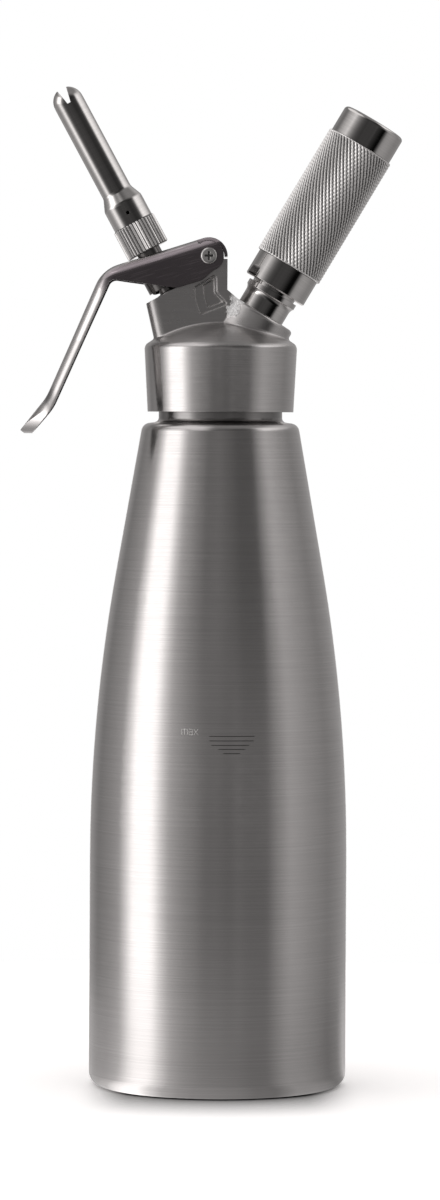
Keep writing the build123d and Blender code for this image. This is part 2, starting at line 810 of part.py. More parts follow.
# ---- Nozzle ---------------------------------------------------------------------------------
socket_top = stem_thread + nozzle_seal_height
bore = nozzle_tube - nozzle_wall
with BuildPart() as nozzle_tip:
    with BuildSketch(valve_section) as nozzle_section:
        with BuildLine():
            Polyline(
                (stem_radius + running_gap, 0),
                (nozzle_root, 0),
                (nozzle_root, collar_length),
                (nozzle_body, collar_length),
                (nozzle_body, nozzle_body_end),
                (nozzle_tube, nozzle_taper_end),
                (nozzle_tube, crown_start),
            )
            outer_curve = TangentArc((nozzle_tube, crown_start), (crown_tip, nozzle_length), tangent=(0, 1))
            inner_curve = TangentArc(
                (bore, crown_start), (crown_tip - crown_lip, nozzle_length), tangent=(0, 1)
            )
            Line(outer_curve @ 1, inner_curve @ 1)
            Polyline(
                (bore, crown_start),
                (bore, nozzle_body_end),
                (nozzle_throat, collar_length + nozzle_land),
                (nozzle_throat, socket_top),
                (stem_radius + running_gap, socket_top),
                (stem_radius + running_gap, 0),
            )
        make_face()
        taper_corners = nozzle_section.vertices().filter_by(
            lambda corner: corner.X > bore and nozzle_body_end - match < corner.Y < nozzle_taper_end + match
        )
        fillet(taper_corners, nozzle_blend)
    revolve(axis=valve_axis)
    # Tapered slots part the crown into petals
    crown_top = valve_section.from_local_coords((0, nozzle_length, 0))
    for slot_normal in (valve_section.z_dir, valve_section.x_dir):
        slot_plane = Plane(
            origin=crown_top, x_dir=slot_normal.cross(valve_section.y_dir) * -1, z_dir=slot_normal
        )
        with BuildSketch(slot_plane):
            with BuildLine():
                Polyline(
                    (-slot_foot / 2, -slot_depth),
                    (slot_foot / 2, -slot_depth),
                    (slot_mouth / 2, drill_overcut),
                    (-slot_mouth / 2, drill_overcut),
                    close=True,
                )
            make_face()
        extrude(amount=nozzle_tube, both=True, mode=Mode.SUBTRACT)
    # The vent hole, drilled from the front
    with BuildSketch(Plane(origin=valve_section.from_local_coords((0, vent_height, 0)), z_dir=(0, -1, 0))):
        Circle(vent_radius)
    extrude(amount=nozzle_body + drill_overcut, mode=Mode.SUBTRACT)
nozzle_tip.part.label = "nozzle_tip"
export_step(nozzle_tip.part, "parts/nozzle_tip.step")

with BuildPart() as nozzle_collar:
    with BuildSketch(across(valve_section, 0)):
        Circle(collar_radius)
        Circle(nozzle_root, mode=Mode.SUBTRACT)
    extrude(amount=collar_length)
    collar_rims = nozzle_collar.edges().filter_by(GeomType.CIRCLE).filter_by(
        lambda edge: abs(edge.radius - collar_radius) < match
    )
    chamfer(collar_rims, collar_groove)
    with BuildSketch(across(valve_section, collar_plain)):
        with PolarLocations(collar_radius, collar_ridges):
            Circle(collar_groove)
    extrude(amount=collar_length - 2 * collar_plain, mode=Mode.SUBTRACT)
nozzle_collar.part.label = "nozzle_collar"
export_step(nozzle_collar.part, "parts/nozzle_collar.step")

with BuildPart() as nozzle_seal:
    add(
        ring(
            valve_section,
            stem_bore + parting_gap,
            stem_radius - running_gap,
            socket_top,
            nozzle_seal_height,
        )
    )
nozzle_seal.part.label = "nozzle_seal"
export_step(nozzle_seal.part, "parts/nozzle_seal.step")

# ---- Charger side: spigot, its ring, needle, charger seal and check valve ----------------------
with BuildPart() as charger_spigot:
    with BuildSketch(charger_section):
        with BuildLine():
            Polyline(
                (gas_hole, -spigot_nose_depth),
                (spigot_nose, -spigot_nose_depth),
                (spigot_nose, -spigot_root_depth),
                (spigot_root, -spigot_root_depth),
                (spigot_root, -boss_depth),
                (spigot_radius, -boss_depth),
                (spigot_radius, -spigot_gap - spigot_flange - spigot_flare),
            )
            RadiusArc(
                (spigot_radius, -spigot_gap - spigot_flange - spigot_flare),
                (spigot_flange_radius, -spigot_gap - spigot_flange),
                spigot_flare_curve,
            )
            Polyline(
                (spigot_flange_radius, -spigot_gap - spigot_flange),
                (spigot_flange_radius, -spigot_gap),
                (spigot_thread, -spigot_gap),
                (spigot_thread, spigot_thread_end - spigot_lead),
                (spigot_thread - spigot_lead, spigot_thread_end),
                (charger_socket + socket_lead, spigot_thread_end),
                (charger_socket, spigot_thread_end - socket_lead),
                (charger_socket, charger_socket_floor),
                (needle_radius, charger_socket_floor),
                (needle_radius, needle_foot),
                (valve_chamber, needle_foot),
                (valve_chamber, -valve_chamber_depth),
                (gas_hole, -valve_chamber_depth),
                (gas_hole, -spigot_nose_depth),
            )
        make_face()
    revolve(axis=charger_axis)
charger_spigot.part.label = "charger_spigot"
export_step(charger_spigot.part, "parts/charger_spigot.step")

with BuildPart() as spigot_seal:
    with BuildSketch(charger_section):
        with Locations((spigot_nose + spigot_ring + running_gap, -spigot_root_depth - spigot_ring)):
            Circle(spigot_ring - running_gap)
    revolve(axis=charger_axis)
spigot_seal.part.label = "spigot_seal"
export_step(spigot_seal.part, "parts/spigot_seal.step")

with BuildPart() as piercing_needle:
    revolve(
        section(
            charger_section,
            (needle_bore, needle_foot),
            (needle_radius, needle_foot),
            (needle_radius, needle_top - needle_point),
            (needle_bore, needle_top),
        ),
        axis=charger_axis,
    )
piercing_needle.part.label = "piercing_needle"
export_step(piercing_needle.part, "parts/piercing_needle.step")

charger_seal_height = charger_foot - parting_gap - charger_socket_floor
with BuildPart() as charger_seal:
    add(
        ring(
            charger_section,
            needle_radius + parting_gap,
            charger_socket - running_gap,
            charger_socket_floor + charger_seal_height,
            charger_seal_height,
        )
    )
charger_seal.part.label = "charger_seal"
export_step(charger_seal.part, "parts/charger_seal.step")

with BuildPart() as check_valve_ball:
    with Locations(charger_section.from_local_coords((0, check_ball_height, 0))):
        Sphere(check_ball)
check_valve_ball.part.label = "check_valve_ball"
export_step(check_valve_ball.part, "parts/check_valve_ball.step")

check_spring_top = check_ball_height - check_ball - running_gap
with BuildPart() as check_valve_spring:
    add(
        coil_spring(
            charger_section,
            plug_height - valve_chamber_depth,
            check_spring_top,
            check_ball * check_spring_share,
            check_wire,
            check_turns,
        )
    )
check_valve_spring.part.label = "check_valve_spring"
export_step(check_valve_spring.part, "parts/check_valve_spring.step")

with BuildPart() as check_valve_plug:
    add(ring(charger_section, gas_hole, valve_chamber, plug_height - valve_chamber_depth, plug_height))
check_valve_plug.part.label = "check_valve_plug"
export_step(check_valve_plug.part, "parts/check_valve_plug.step")

# ---- Charger holder and gas charger ----------------------------------------------------------
with BuildPart() as holder_body:
    revolve(
        section(
            charger_section,
            (holder_mouth, 0),
            (holder_band - grip_bevel, 0),
            (holder_band, grip_bevel),
            (holder_band, holder_band_height),
            (holder_tube, holder_band_height),
            (holder_tube, holder_grip_end),
            (holder_tube - tube_thread, holder_grip_end),
            (holder_tube - tube_thread, holder_end),
            (holder_bore, holder_end),
            (holder_bore, spigot_thread_end + mouth_runout),
            (holder_mouth, spigot_thread_end + mouth_runout),
        ),
        axis=charger_axis,
    )
holder_body.part.label = "holder_body"
export_step(holder_body.part, "parts/holder_body.step")

grip_length = holder_grip_end - holder_band_height


def knurl_groove(lefthand):
    """One helical V groove along the grip, on the Z axis, long enough to run out of both ends."""
    flare = knurl_width / 2 * (1 + knurl_overcut / knurl_depth)
    with BuildPart() as groove:
        with BuildLine():
            path = Helix(
                pitch=2 * pi * holder_grip_radius / tan(radians(knurl_lean)),
                height=grip_length + 2 * knurl_runout,
                radius=holder_grip_radius,
                center=(0, 0, -knurl_runout),
                direction=(0, 0, 1),
                lefthand=lefthand,
            )
        with BuildSketch(Plane(origin=path @ 0, x_dir=(1, 0, 0), z_dir=path % 0)):
            with BuildLine():
                Polyline((-knurl_depth, 0), (knurl_overcut, -flare), (knurl_overcut, flare), close=True)
            make_face()
        sweep(path=path, is_frenet=True)
    return groove.part


with BuildPart() as grip_sleeve:
    with BuildSketch():
        Circle(holder_grip_radius)
        Circle(holder_tube, mode=Mode.SUBTRACT)
    extrude(amount=grip_length)
    grip_rims = grip_sleeve.edges().filter_by(GeomType.CIRCLE).filter_by(
        lambda edge: abs(edge.radius - holder_grip_radius) < match
    )
    chamfer(grip_rims, grip_bevel)
    with PolarLocations(0, knurl_starts):
        add(knurl_groove(False), mode=Mode.SUBTRACT)
        add(knurl_groove(True), mode=Mode.SUBTRACT)

with BuildPart() as holder_grip:
    with Locations(across(charger_section, holder_band_height)):
        add(grip_sleeve.part)
holder_grip.part.label = "holder_grip"
export_step(holder_grip.part, "parts/holder_grip.step")

with BuildPart() as holder_cap:
    revolve(
        section(
            charger_section,
            (holder_tube - tube_thread, holder_grip_end),
            (holder_cap_radius, holder_grip_end),
            (holder_cap_radius, holder_length),
            (0, holder_length),
            (0, holder_end),
            (holder_tube - tube_thread, holder_end),
        ),
        axis=charger_axis,
    )
    cap_rim = holder_cap.edges().filter_by(GeomType.CIRCLE).sort_by(charger_axis)[-1]
    fillet(cap_rim, holder_cap_edge)
holder_cap.part.label = "holder_cap"
export_step(holder_cap.part, "parts/holder_cap.step")

with BuildPart() as gas_charger:
    neck_top = charger_foot + charger_neck_length
    charger_top = charger_foot + charger_length
    with BuildSketch(charger_section):
        with BuildLine():
            Polyline(
                (pierced_hole, charger_foot),
                (charger_neck, charger_foot),
                (charger_neck, neck_top),
                (charger_radius, neck_top + charger_shoulder),
                (charger_radius, charger_top - charger_crown),
            )
            CenterArc((charger_radius - charger_crown, charger_top - charger_crown), charger_crown, 0, 90)
            Polyline(
                (charger_radius - charger_crown, charger_top),
                (0, charger_top),
                (0, charger_top - charger_wall),
                (charger_radius - charger_crown, charger_top - charger_wall),
            )
            CenterArc(
                (charger_radius - charger_crown, charger_top - charger_crown),
                charger_crown - charger_wall,
                0,
                90,
            )
            Polyline(
                (charger_radius - charger_wall, charger_top - charger_crown),
                (charger_radius - charger_wall, neck_top + charger_shoulder),
                (charger_neck - charger_wall, neck_top),
                (charger_neck - charger_wall, charger_foot + charger_wall),
                (pierced_hole, charger_foot + charger_wall),
                (pierced_hole, charger_foot),
            )
        make_face()
    revolve(axis=charger_axis)
gas_charger.part.label = "gas_charger"
export_step(gas_charger.part, "parts/gas_charger.step")
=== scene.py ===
from math import atan2, ceil, cos, pi, radians, sin, sqrt, tan

import bmesh
import bpy
from mathutils import Matrix, Vector


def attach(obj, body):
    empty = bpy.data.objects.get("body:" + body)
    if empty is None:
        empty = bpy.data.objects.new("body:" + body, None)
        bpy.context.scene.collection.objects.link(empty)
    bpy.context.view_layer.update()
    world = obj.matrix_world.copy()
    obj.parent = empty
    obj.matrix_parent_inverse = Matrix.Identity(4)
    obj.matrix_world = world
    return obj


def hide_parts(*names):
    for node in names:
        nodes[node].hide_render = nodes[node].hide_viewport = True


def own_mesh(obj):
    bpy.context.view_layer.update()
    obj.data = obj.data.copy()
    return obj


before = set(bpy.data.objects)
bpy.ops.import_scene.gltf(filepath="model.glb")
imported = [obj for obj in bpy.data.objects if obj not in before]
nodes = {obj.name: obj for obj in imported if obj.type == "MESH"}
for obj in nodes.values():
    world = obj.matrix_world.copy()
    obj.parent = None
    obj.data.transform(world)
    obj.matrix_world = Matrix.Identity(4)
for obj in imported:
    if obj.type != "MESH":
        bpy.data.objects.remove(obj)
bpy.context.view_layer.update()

scene = bpy.context.scene
MM = 0.001


# ---- Camera ---------------------------------------------------------------------------------
SENSOR_HEIGHT = 36
VIEW_HEIGHT = radians(13.3)
CAMERA_PLACE = Vector((0.0, -2.0, 0.262))
CAMERA_TARGET = Vector((0.0002, 0.0, 0.18893))
CAMERA_ROLL = radians(0.3)
CLIP_START, CLIP_END = 0.05, 50


def make_camera():
    """A long lens a little above the middle of the dispenser, looking down by two degrees."""
    data = bpy.data.cameras.new("camera")
    data.sensor_fit = "VERTICAL"
    data.sensor_height = SENSOR_HEIGHT
    data.lens = data.sensor_height / 2 / tan(VIEW_HEIGHT / 2)
    data.clip_start = CLIP_START
    data.clip_end = CLIP_END
    camera = bpy.data.objects.new("camera", data)
    scene.collection.objects.link(camera)
    roll = Matrix.Rotation(CAMERA_ROLL, 4, "Z")
    turn = (CAMERA_TARGET - CAMERA_PLACE).to_track_quat("-Z", "Y").to_matrix().to_4x4()
    camera.matrix_world = Matrix.Translation(CAMERA_PLACE) @ turn @ roll
    scene.camera = camera


# ---- Node helpers ---------------------------------------------------------------------------
MIX_FACTOR, MIX_FIRST, MIX_SECOND = 0, 6, 7  # a colour mix node's inputs
MIX_RESULT = 2
NOISE_RANGE = (0.3, 0.7)  # where most of a noise texture's values lie


def add_node(tree, kind, inputs=None, **settings):
    """A shader node with its settings, and its inputs as values or links."""
    node = tree.nodes.new(kind)
    for name, value in settings.items():
        setattr(node, name, value)
    for key, value in (inputs or {}).items():
        if isinstance(value, bpy.types.NodeSocket):
            tree.links.new(value, node.inputs[key])
        else:
            node.inputs[key].default_value = value
    return node


def maths(tree, operation, *values):
    node = add_node(tree, "ShaderNodeMath", dict(enumerate(values)), operation=operation)
    return node.outputs[0]


def vector_maths(tree, operation, *values):
    """Vector maths that gives a vector."""
    node = add_node(tree, "ShaderNodeVectorMath", dict(enumerate(values)), operation=operation)
    return node.outputs["Vector"]


def vector_value(tree, operation, *values):
    """Vector maths that gives a number, such as a length or a dot product."""
    node = add_node(tree, "ShaderNodeVectorMath", dict(enumerate(values)), operation=operation)
    return node.outputs["Value"]


def scaled(tree, vector, amount):
    node = add_node(tree, "ShaderNodeVectorMath", {0: vector, "Scale": amount}, operation="SCALE")
    return node.outputs["Vector"]


def components(tree, vector):
    """A vector's X, Y and Z."""
    return tuple(add_node(tree, "ShaderNodeSeparateXYZ", {"Vector": vector}).outputs)


def combined(tree, x, y, z):
    return add_node(tree, "ShaderNodeCombineXYZ", {0: x, 1: y, 2: z}).outputs[0]


def object_place(tree):
    return add_node(tree, "ShaderNodeTexCoord").outputs["Object"]


def surface_normal(tree):
    return add_node(tree, "ShaderNodeNewGeometry").outputs["Normal"]


def span(tree, value, low, high, out_low=0.0, out_high=1.0, smooth=True):
    """Maps a value from one range to another, held at both ends."""
    node = add_node(
        tree,
        "ShaderNodeMapRange",
        {"Value": value, "From Min": low, "From Max": high, "To Min": out_low, "To Max": out_high},
        interpolation_type="SMOOTHSTEP" if smooth else "LINEAR",
    )
    return node.outputs["Result"]


def falling(tree, value, low, high):
    """A mask that is one up to low and nothing from high on."""
    return span(tree, value, low, high, 1.0, 0.0)


def within(tree, value, rise, fall):
    """A mask that comes in over the range rise and goes out over the range fall."""
    return maths(tree, "MULTIPLY", span(tree, value, *rise), falling(tree, value, *fall))


def rest_of(tree, share):
    return maths(tree, "SUBTRACT", 1.0, share)


def share_of(tree, *masks):
    """Several masks multiplied together."""
    product = masks[0]
    for mask in masks[1:]:
        product = maths(tree, "MULTIPLY", product, mask)
    return product


def faded(tree, start, end, share):
    """A value fading from one level to another; either may be a plain number."""
    kept = maths(tree, "MULTIPLY", start, rest_of(tree, share))
    return maths(tree, "ADD", kept, maths(tree, "MULTIPLY", end, share))


def ramp(tree, value, stops):
    """A colour ramp of greys, from places and levels."""
    node = add_node(tree, "ShaderNodeValToRGB", {"Fac": value})
    elements = node.color_ramp.elements
    while len(elements) < len(stops):
        elements.new(0.5)
    for element, (place, level) in zip(elements, stops):
        element.position = place
        element.color = (level, level, level, 1)
    return node.outputs["Color"]


def ring_ramp(tree, turn, ring, scale=1.0):
    """The levels of a ring of light, at a share of a full turn."""
    return ramp(tree, turn, [(0.5 + angle / 360, level * scale) for angle, level in ring])


def opaque(colour):
    """A colour as a node's input takes it; a link stays as it is."""
    return colour if isinstance(colour, bpy.types.NodeSocket) else (*colour, 1)


def blend_colour(tree, factor, first, second, mode="MIX"):
    inputs = {MIX_FACTOR: factor, MIX_FIRST: opaque(first), MIX_SECOND: opaque(second)}
    node = add_node(tree, "ShaderNodeMix", inputs, data_type="RGBA", blend_type=mode)
    return node.outputs[MIX_RESULT]


def greyed(tree, tone, level):
    """A colour dimmed by a level that comes from masks."""
    return blend_colour(tree, 1.0, tone, combined(tree, level, level, level), mode="MULTIPLY")


def new_material(name):
    """A material with an empty node tree."""
    material = bpy.data.materials.new(name)
    material.use_nodes = True
    material.node_tree.nodes.clear()
    return material


def finish_material(tree, shader):
    output = add_node(tree, "ShaderNodeOutputMaterial")
    tree.links.new(shader.outputs[0], output.inputs["Surface"])


def main_shader(tree):
    return next(node for node in tree.nodes if node.type == "BSDF_PRINCIPLED")


def source(shader, name):
    """What a shader's input is linked to."""
    return shader.inputs[name].links[0].from_socket


# ---- Studio: world, floor -------------------------------------------------------------------
# Brightness round the object at three heights: degrees from the camera's side, positive to
# the right, and the level, scaled down because a ramp holds levels up to one.
RAMP_SCALE = 0.5
LOW_RING = (
    (-180, 0.36), (-152, 0.3), (-137, 0.18), (-116, 0.16), (-97, 0.2), (-84, 0.36), (-72, 0.6),
    (-60, 0.56), (-50, 0.26), (-42, 0.14), (-30, 0.07), (-17, 0.03), (0, 0.015), (14, 0.004), (44, 0.003),
    (52, 0.1), (58, 0.19), (81, 0.19), (97, 0.17), (116, 0.14), (140, 0.14), (180, 0.4),
)
MIDDLE_RING = (
    (-180, 0.2), (-152, 0.17), (-137, 0.12), (-116, 0.17), (-100, 0.23), (-89, 0.6), (-83, 0.95),
    (-62, 0.95), (-54, 0.5), (-45, 0.25), (-30, 0.14), (-17, 0.09), (-2, 0.12), (10, 0.09), (24, 0.06),
    (46, 0.055), (54, 0.16), (68, 0.25), (90, 0.19), (116, 0.14), (137, 0.17), (160, 0.2), (180, 0.2),
)
HIGH_RING = (
    (-180, 0.2), (-152, 0.1), (-125, 0.1), (-97, 0.17), (-81, 0.3), (-67, 0.42), (-53, 0.28),
    (-41, 0.2), (-29, 0.12), (-17, 0.06), (0, 0.06), (29, 0.035), (48, 0.04), (57, 0.12),
    (68, 0.5), (80, 0.62), (97, 0.54), (116, 0.42), (137, 0.3), (160, 0.22), (180, 0.2),
)
# The same for the painted glow on the white floor close in front of the object, as full levels
FLOOR_RING = (
    (-180, 0.5), (-152, 0.5), (-137, 0.46), (-116, 0.5), (-97, 0.68), (-84, 1.25), (-75, 1.55), (-62, 1.55),
    (-53, 1.05), (-41, 0.56), (-29, 0.4), (-17, 0.33), (0, 0.29), (17, 0.25), (29, 0.21), (44, 0.2),
    (53, 0.28), (62, 0.36), (81, 0.34), (97, 0.28), (116, 0.2), (137, 0.28), (152, 0.6), (180, 0.5),
)
WHITE = (1, 1, 1)
WARM_WHITE = (1.0, 0.975, 0.968)
# Elevations and azimuths of the studio's parts, in degrees, each as the range it fades over
TO_LOW_RING = (-8, -17)
TO_HIGH_RING = (19, 29)
GLOW_FOOT, GLOW_TOP = (-7.5, -5), (0, 13)
GLOW_LEFT, GLOW_RIGHT = (-60, -20), (46, 56)
GLOW_LEVEL = 0.12
TO_CEILING = (35, 62)
CEILING_LEVEL = 0.26
PANEL_LEFT, PANEL_RIGHT = (-175, -140), (-40, -10)
PANEL_FOOT, PANEL_TOP = (30, 42), (66, 80)
PANEL_LEVEL = 1.0
LENS_SPOT = (0.0, -0.9976, -0.0698)  # towards the camera, a little below it
LENS_SPOT_EDGE, LENS_SPOT_CORE = radians(20), radians(7)
LENS_SPOT_LEVEL = 0.65
BACKDROP_SIDES, BACKDROP_TOP = (166, 172), (2, 9)
EVEN_LEVEL = 0.85


def make_world():
    world = bpy.data.worlds.new("studio")
    world.use_nodes = True
    scene.world = world
    tree = world.node_tree
    tree.nodes.clear()
    direction = add_node(tree, "ShaderNodeTexCoord").outputs["Generated"]
    x, y, z = components(tree, direction)
    azimuth = maths(tree, "DEGREES", maths(tree, "ARCTAN2", x, maths(tree, "MULTIPLY", y, -1)))
    elevation = maths(tree, "DEGREES", maths(tree, "ARCSINE", z))
    turn = maths(tree, "ADD", maths(tree, "DIVIDE", azimuth, 360.0), 0.5)
    low, middle, high = (
        add_node(tree, "ShaderNodeRGBToBW", {"Color": ring_ramp(tree, turn, ring)}).outputs[0]
        for ring in (LOW_RING, MIDDLE_RING, HIGH_RING)
    )
    level = faded(tree, middle, low, span(tree, elevation, *TO_LOW_RING))
    level = faded(tree, level, high, span(tree, elevation, *TO_HIGH_RING))
    level = maths(tree, "MULTIPLY", level, 1 / RAMP_SCALE)
    # The far floor glows a little along the bottom of the dark side
    glow = share_of(
        tree, within(tree, elevation, GLOW_FOOT, GLOW_TOP), within(tree, azimuth, GLOW_LEFT, GLOW_RIGHT)
    )
    level = maths(tree, "ADD", level, maths(tree, "MULTIPLY", glow, GLOW_LEVEL))
    # The ceiling is grey, with a broad panel over the left
    level = faded(tree, level, CEILING_LEVEL, span(tree, elevation, *TO_CEILING))
    panel = share_of(
        tree, within(tree, azimuth, PANEL_LEFT, PANEL_RIGHT), within(tree, elevation, PANEL_FOOT, PANEL_TOP)
    )
    level = faded(tree, level, PANEL_LEVEL, panel)
    # The camera's own side is darker where flat faces mirror it
    facing = vector_value(tree, "DOT_PRODUCT", direction, LENS_SPOT)
    spot = span(tree, facing, cos(LENS_SPOT_EDGE), cos(LENS_SPOT_CORE), 1.0, LENS_SPOT_LEVEL)
    level = maths(tree, "MULTIPLY", level, spot)
    # The white backdrop behind the object shows in metal as well
    rays = add_node(tree, "ShaderNodeLightPath").outputs
    behind = span(tree, maths(tree, "ABSOLUTE", azimuth), *BACKDROP_SIDES)
    backdrop = share_of(tree, behind, falling(tree, elevation, *BACKDROP_TOP))
    mirrored = maths(tree, "MAXIMUM", rays["Is Glossy Ray"], rays["Is Transmission Ray"])
    level = maths(tree, "MAXIMUM", level, maths(tree, "MULTIPLY", backdrop, mirrored))
    # Diffuse rays get plain, even light, and the camera sees white
    level = faded(tree, level, EVEN_LEVEL, rays["Is Diffuse Ray"])
    level = maths(tree, "MAXIMUM", level, rays["Is Camera Ray"])
    tint = blend_colour(tree, rays["Is Camera Ray"], WARM_WHITE, WHITE)
    background = add_node(tree, "ShaderNodeBackground", {"Color": tint, "Strength": level})
    output = add_node(tree, "ShaderNodeOutputWorld")
    tree.links.new(background.outputs[0], output.inputs["Surface"])


FLOOR_RADIUS = 0.45
FLOOR_SIDES = 96
FLOOR_FADE = (0.24, 0.44)  # where the floor's own glow ends, out from the object
FLOOR_WHITE = 1.45
FLOOR_BOUNCE = (0.8, 0.8, 0.8)
PAPER_SCALE = 400.0
PAPER_LEVELS = (0.98, 1.0)
CONTACT_REACH = 0.052
CONTACT_DEPTH = 2.5
CONTACT_FRONT = (-0.015, 0.03)
CONTACT_SIDES = (0.033, 0.056)
STRIP_BEND = 0.0525  # turns the strips of light on the floor, more so close to the object
FOOT_REACH = (0.05, 0.12)
FOOT_GLOW = 1.15


def make_floor():
    mesh = bpy.data.meshes.new("floor")
    shape = bmesh.new()
    bmesh.ops.create_circle(shape, cap_ends=True, segments=FLOOR_SIDES, radius=FLOOR_RADIUS)
    shape.to_mesh(mesh)
    shape.free()
    floor = bpy.data.objects.new("floor", mesh)
    scene.collection.objects.link(floor)
    material = new_material("floor_white")
    tree = material.node_tree
    rays = add_node(tree, "ShaderNodeLightPath").outputs
    seen = maths(tree, "MAXIMUM", rays["Is Camera Ray"], rays["Is Transmission Ray"])
    place = object_place(tree)
    x, y, _ = components(tree, place)
    front = maths(tree, "MULTIPLY", y, -1)
    reach = vector_value(tree, "LENGTH", place)
    # Painted shadow: the floor's colour is darkened where light doesn't get under the front of the bottle
    contact = add_node(tree, "ShaderNodeAmbientOcclusion", {"Distance": CONTACT_REACH}, samples=8)
    contact_shadow = rest_of(tree, maths(tree, "POWER", contact.outputs["AO"], CONTACT_DEPTH))
    beside = maths(tree, "ABSOLUTE", x)
    ahead = share_of(tree, span(tree, front, *CONTACT_FRONT), falling(tree, beside, *CONTACT_SIDES))
    lit = rest_of(tree, maths(tree, "MULTIPLY", contact_shadow, ahead))
    white = maths(tree, "MULTIPLY", lit, FLOOR_WHITE)
    # Fine paper grain keeps the sheet from being one flat tone
    grain = add_node(tree, "ShaderNodeTexNoise", {"Scale": PAPER_SCALE, "Detail": 2.0}).outputs["Fac"]
    white = maths(tree, "MULTIPLY", white, span(tree, grain, *NOISE_RANGE, *PAPER_LEVELS))
    colour = blend_colour(tree, seen, FLOOR_BOUNCE, combined(tree, white, white, white))
    diffuse = add_node(tree, "ShaderNodeBsdfDiffuse", {"Color": colour})
    # Seen in the metal, the floor glows with painted light that stands in for the strips of light falling on
    # it, brighter near the foot
    azimuth = maths(tree, "ARCTAN2", x, front)
    bend = maths(tree, "MULTIPLY", maths(tree, "SINE", maths(tree, "MULTIPLY", azimuth, 0.5)), STRIP_BEND)
    turned = maths(tree, "ADD", azimuth, maths(tree, "DIVIDE", bend, reach))
    turn = maths(tree, "ADD", maths(tree, "DIVIDE", turned, 2 * pi), 0.5)
    shown = ring_ramp(tree, turn, FLOOR_RING, RAMP_SCALE)
    strength = maths(tree, "MULTIPLY", span(tree, reach, *FOOT_REACH, FOOT_GLOW, 1.0), 1 / RAMP_SCALE)
    warm = blend_colour(tree, 1.0, shown, WARM_WHITE, mode="MULTIPLY")
    glow = add_node(tree, "ShaderNodeEmission", {"Color": warm, "Strength": strength})
    through = add_node(tree, "ShaderNodeBsdfTransparent")
    edge = span(tree, reach, *FLOOR_FADE)
    mirrored = add_node(tree, "ShaderNodeMixShader", {0: edge, 1: glow.outputs[0], 2: through.outputs[0]})
    both = {0: rays["Is Glossy Ray"], 1: diffuse.outputs[0], 2: mirrored.outputs[0]}
    finish_material(tree, add_node(tree, "ShaderNodeMixShader", both))
    mesh.materials.append(material)


# ---- Materials ------------------------------------------------------------------------------
# Axes of the turned parts, each as a point and a direction
UPRIGHT = (Vector((0, 0, 0)), Vector((0, 0, 1)))
VALVE = (Vector((-28.32, 0, 324.3)) * MM, Vector((-sin(radians(28.5)), 0, cos(radians(28.5)))))
CHARGER = (Vector((20.7, 0, 309.6)) * MM, Vector((sin(radians(30.7)), 0, cos(radians(30.7)))))
UPRIGHT_ENOUGH = 0.9999
WORN_SAMPLES = 6


def axis_space(tree, axis):
    """Object coordinates with Z along a turned part's own axis."""
    origin, direction = axis
    place = object_place(tree)
    if direction.z > UPRIGHT_ENOUGH:
        return place
    lean = atan2(direction.x, direction.z)
    turn = Matrix.Rotation(-lean, 3, "Y")
    mapping = add_node(
        tree,
        "ShaderNodeMapping",
        {"Vector": place, "Location": turn @ origin * -1, "Rotation": (0, -lean, 0)},
        vector_type="POINT",
    )
    return mapping.outputs["Vector"]


def distance_from(tree, place, axis):
    """How far a place is from a turned part's axis."""
    origin, direction = axis
    from_origin = vector_maths(tree, "SUBTRACT", place, origin)
    return vector_value(tree, "LENGTH", vector_maths(tree, "CROSS_PRODUCT", from_origin, direction))


def stretched_noise(tree, vector, scale, detail=3.0, roughness=0.55):
    """Noise with its own scale, per metre, along each axis."""
    inputs = {
        "Vector": vector_maths(tree, "MULTIPLY", vector, scale),
        "Scale": 1.0,
        "Detail": detail,
        "Roughness": roughness,
    }
    return add_node(tree, "ShaderNodeTexNoise", inputs).outputs["Fac"]


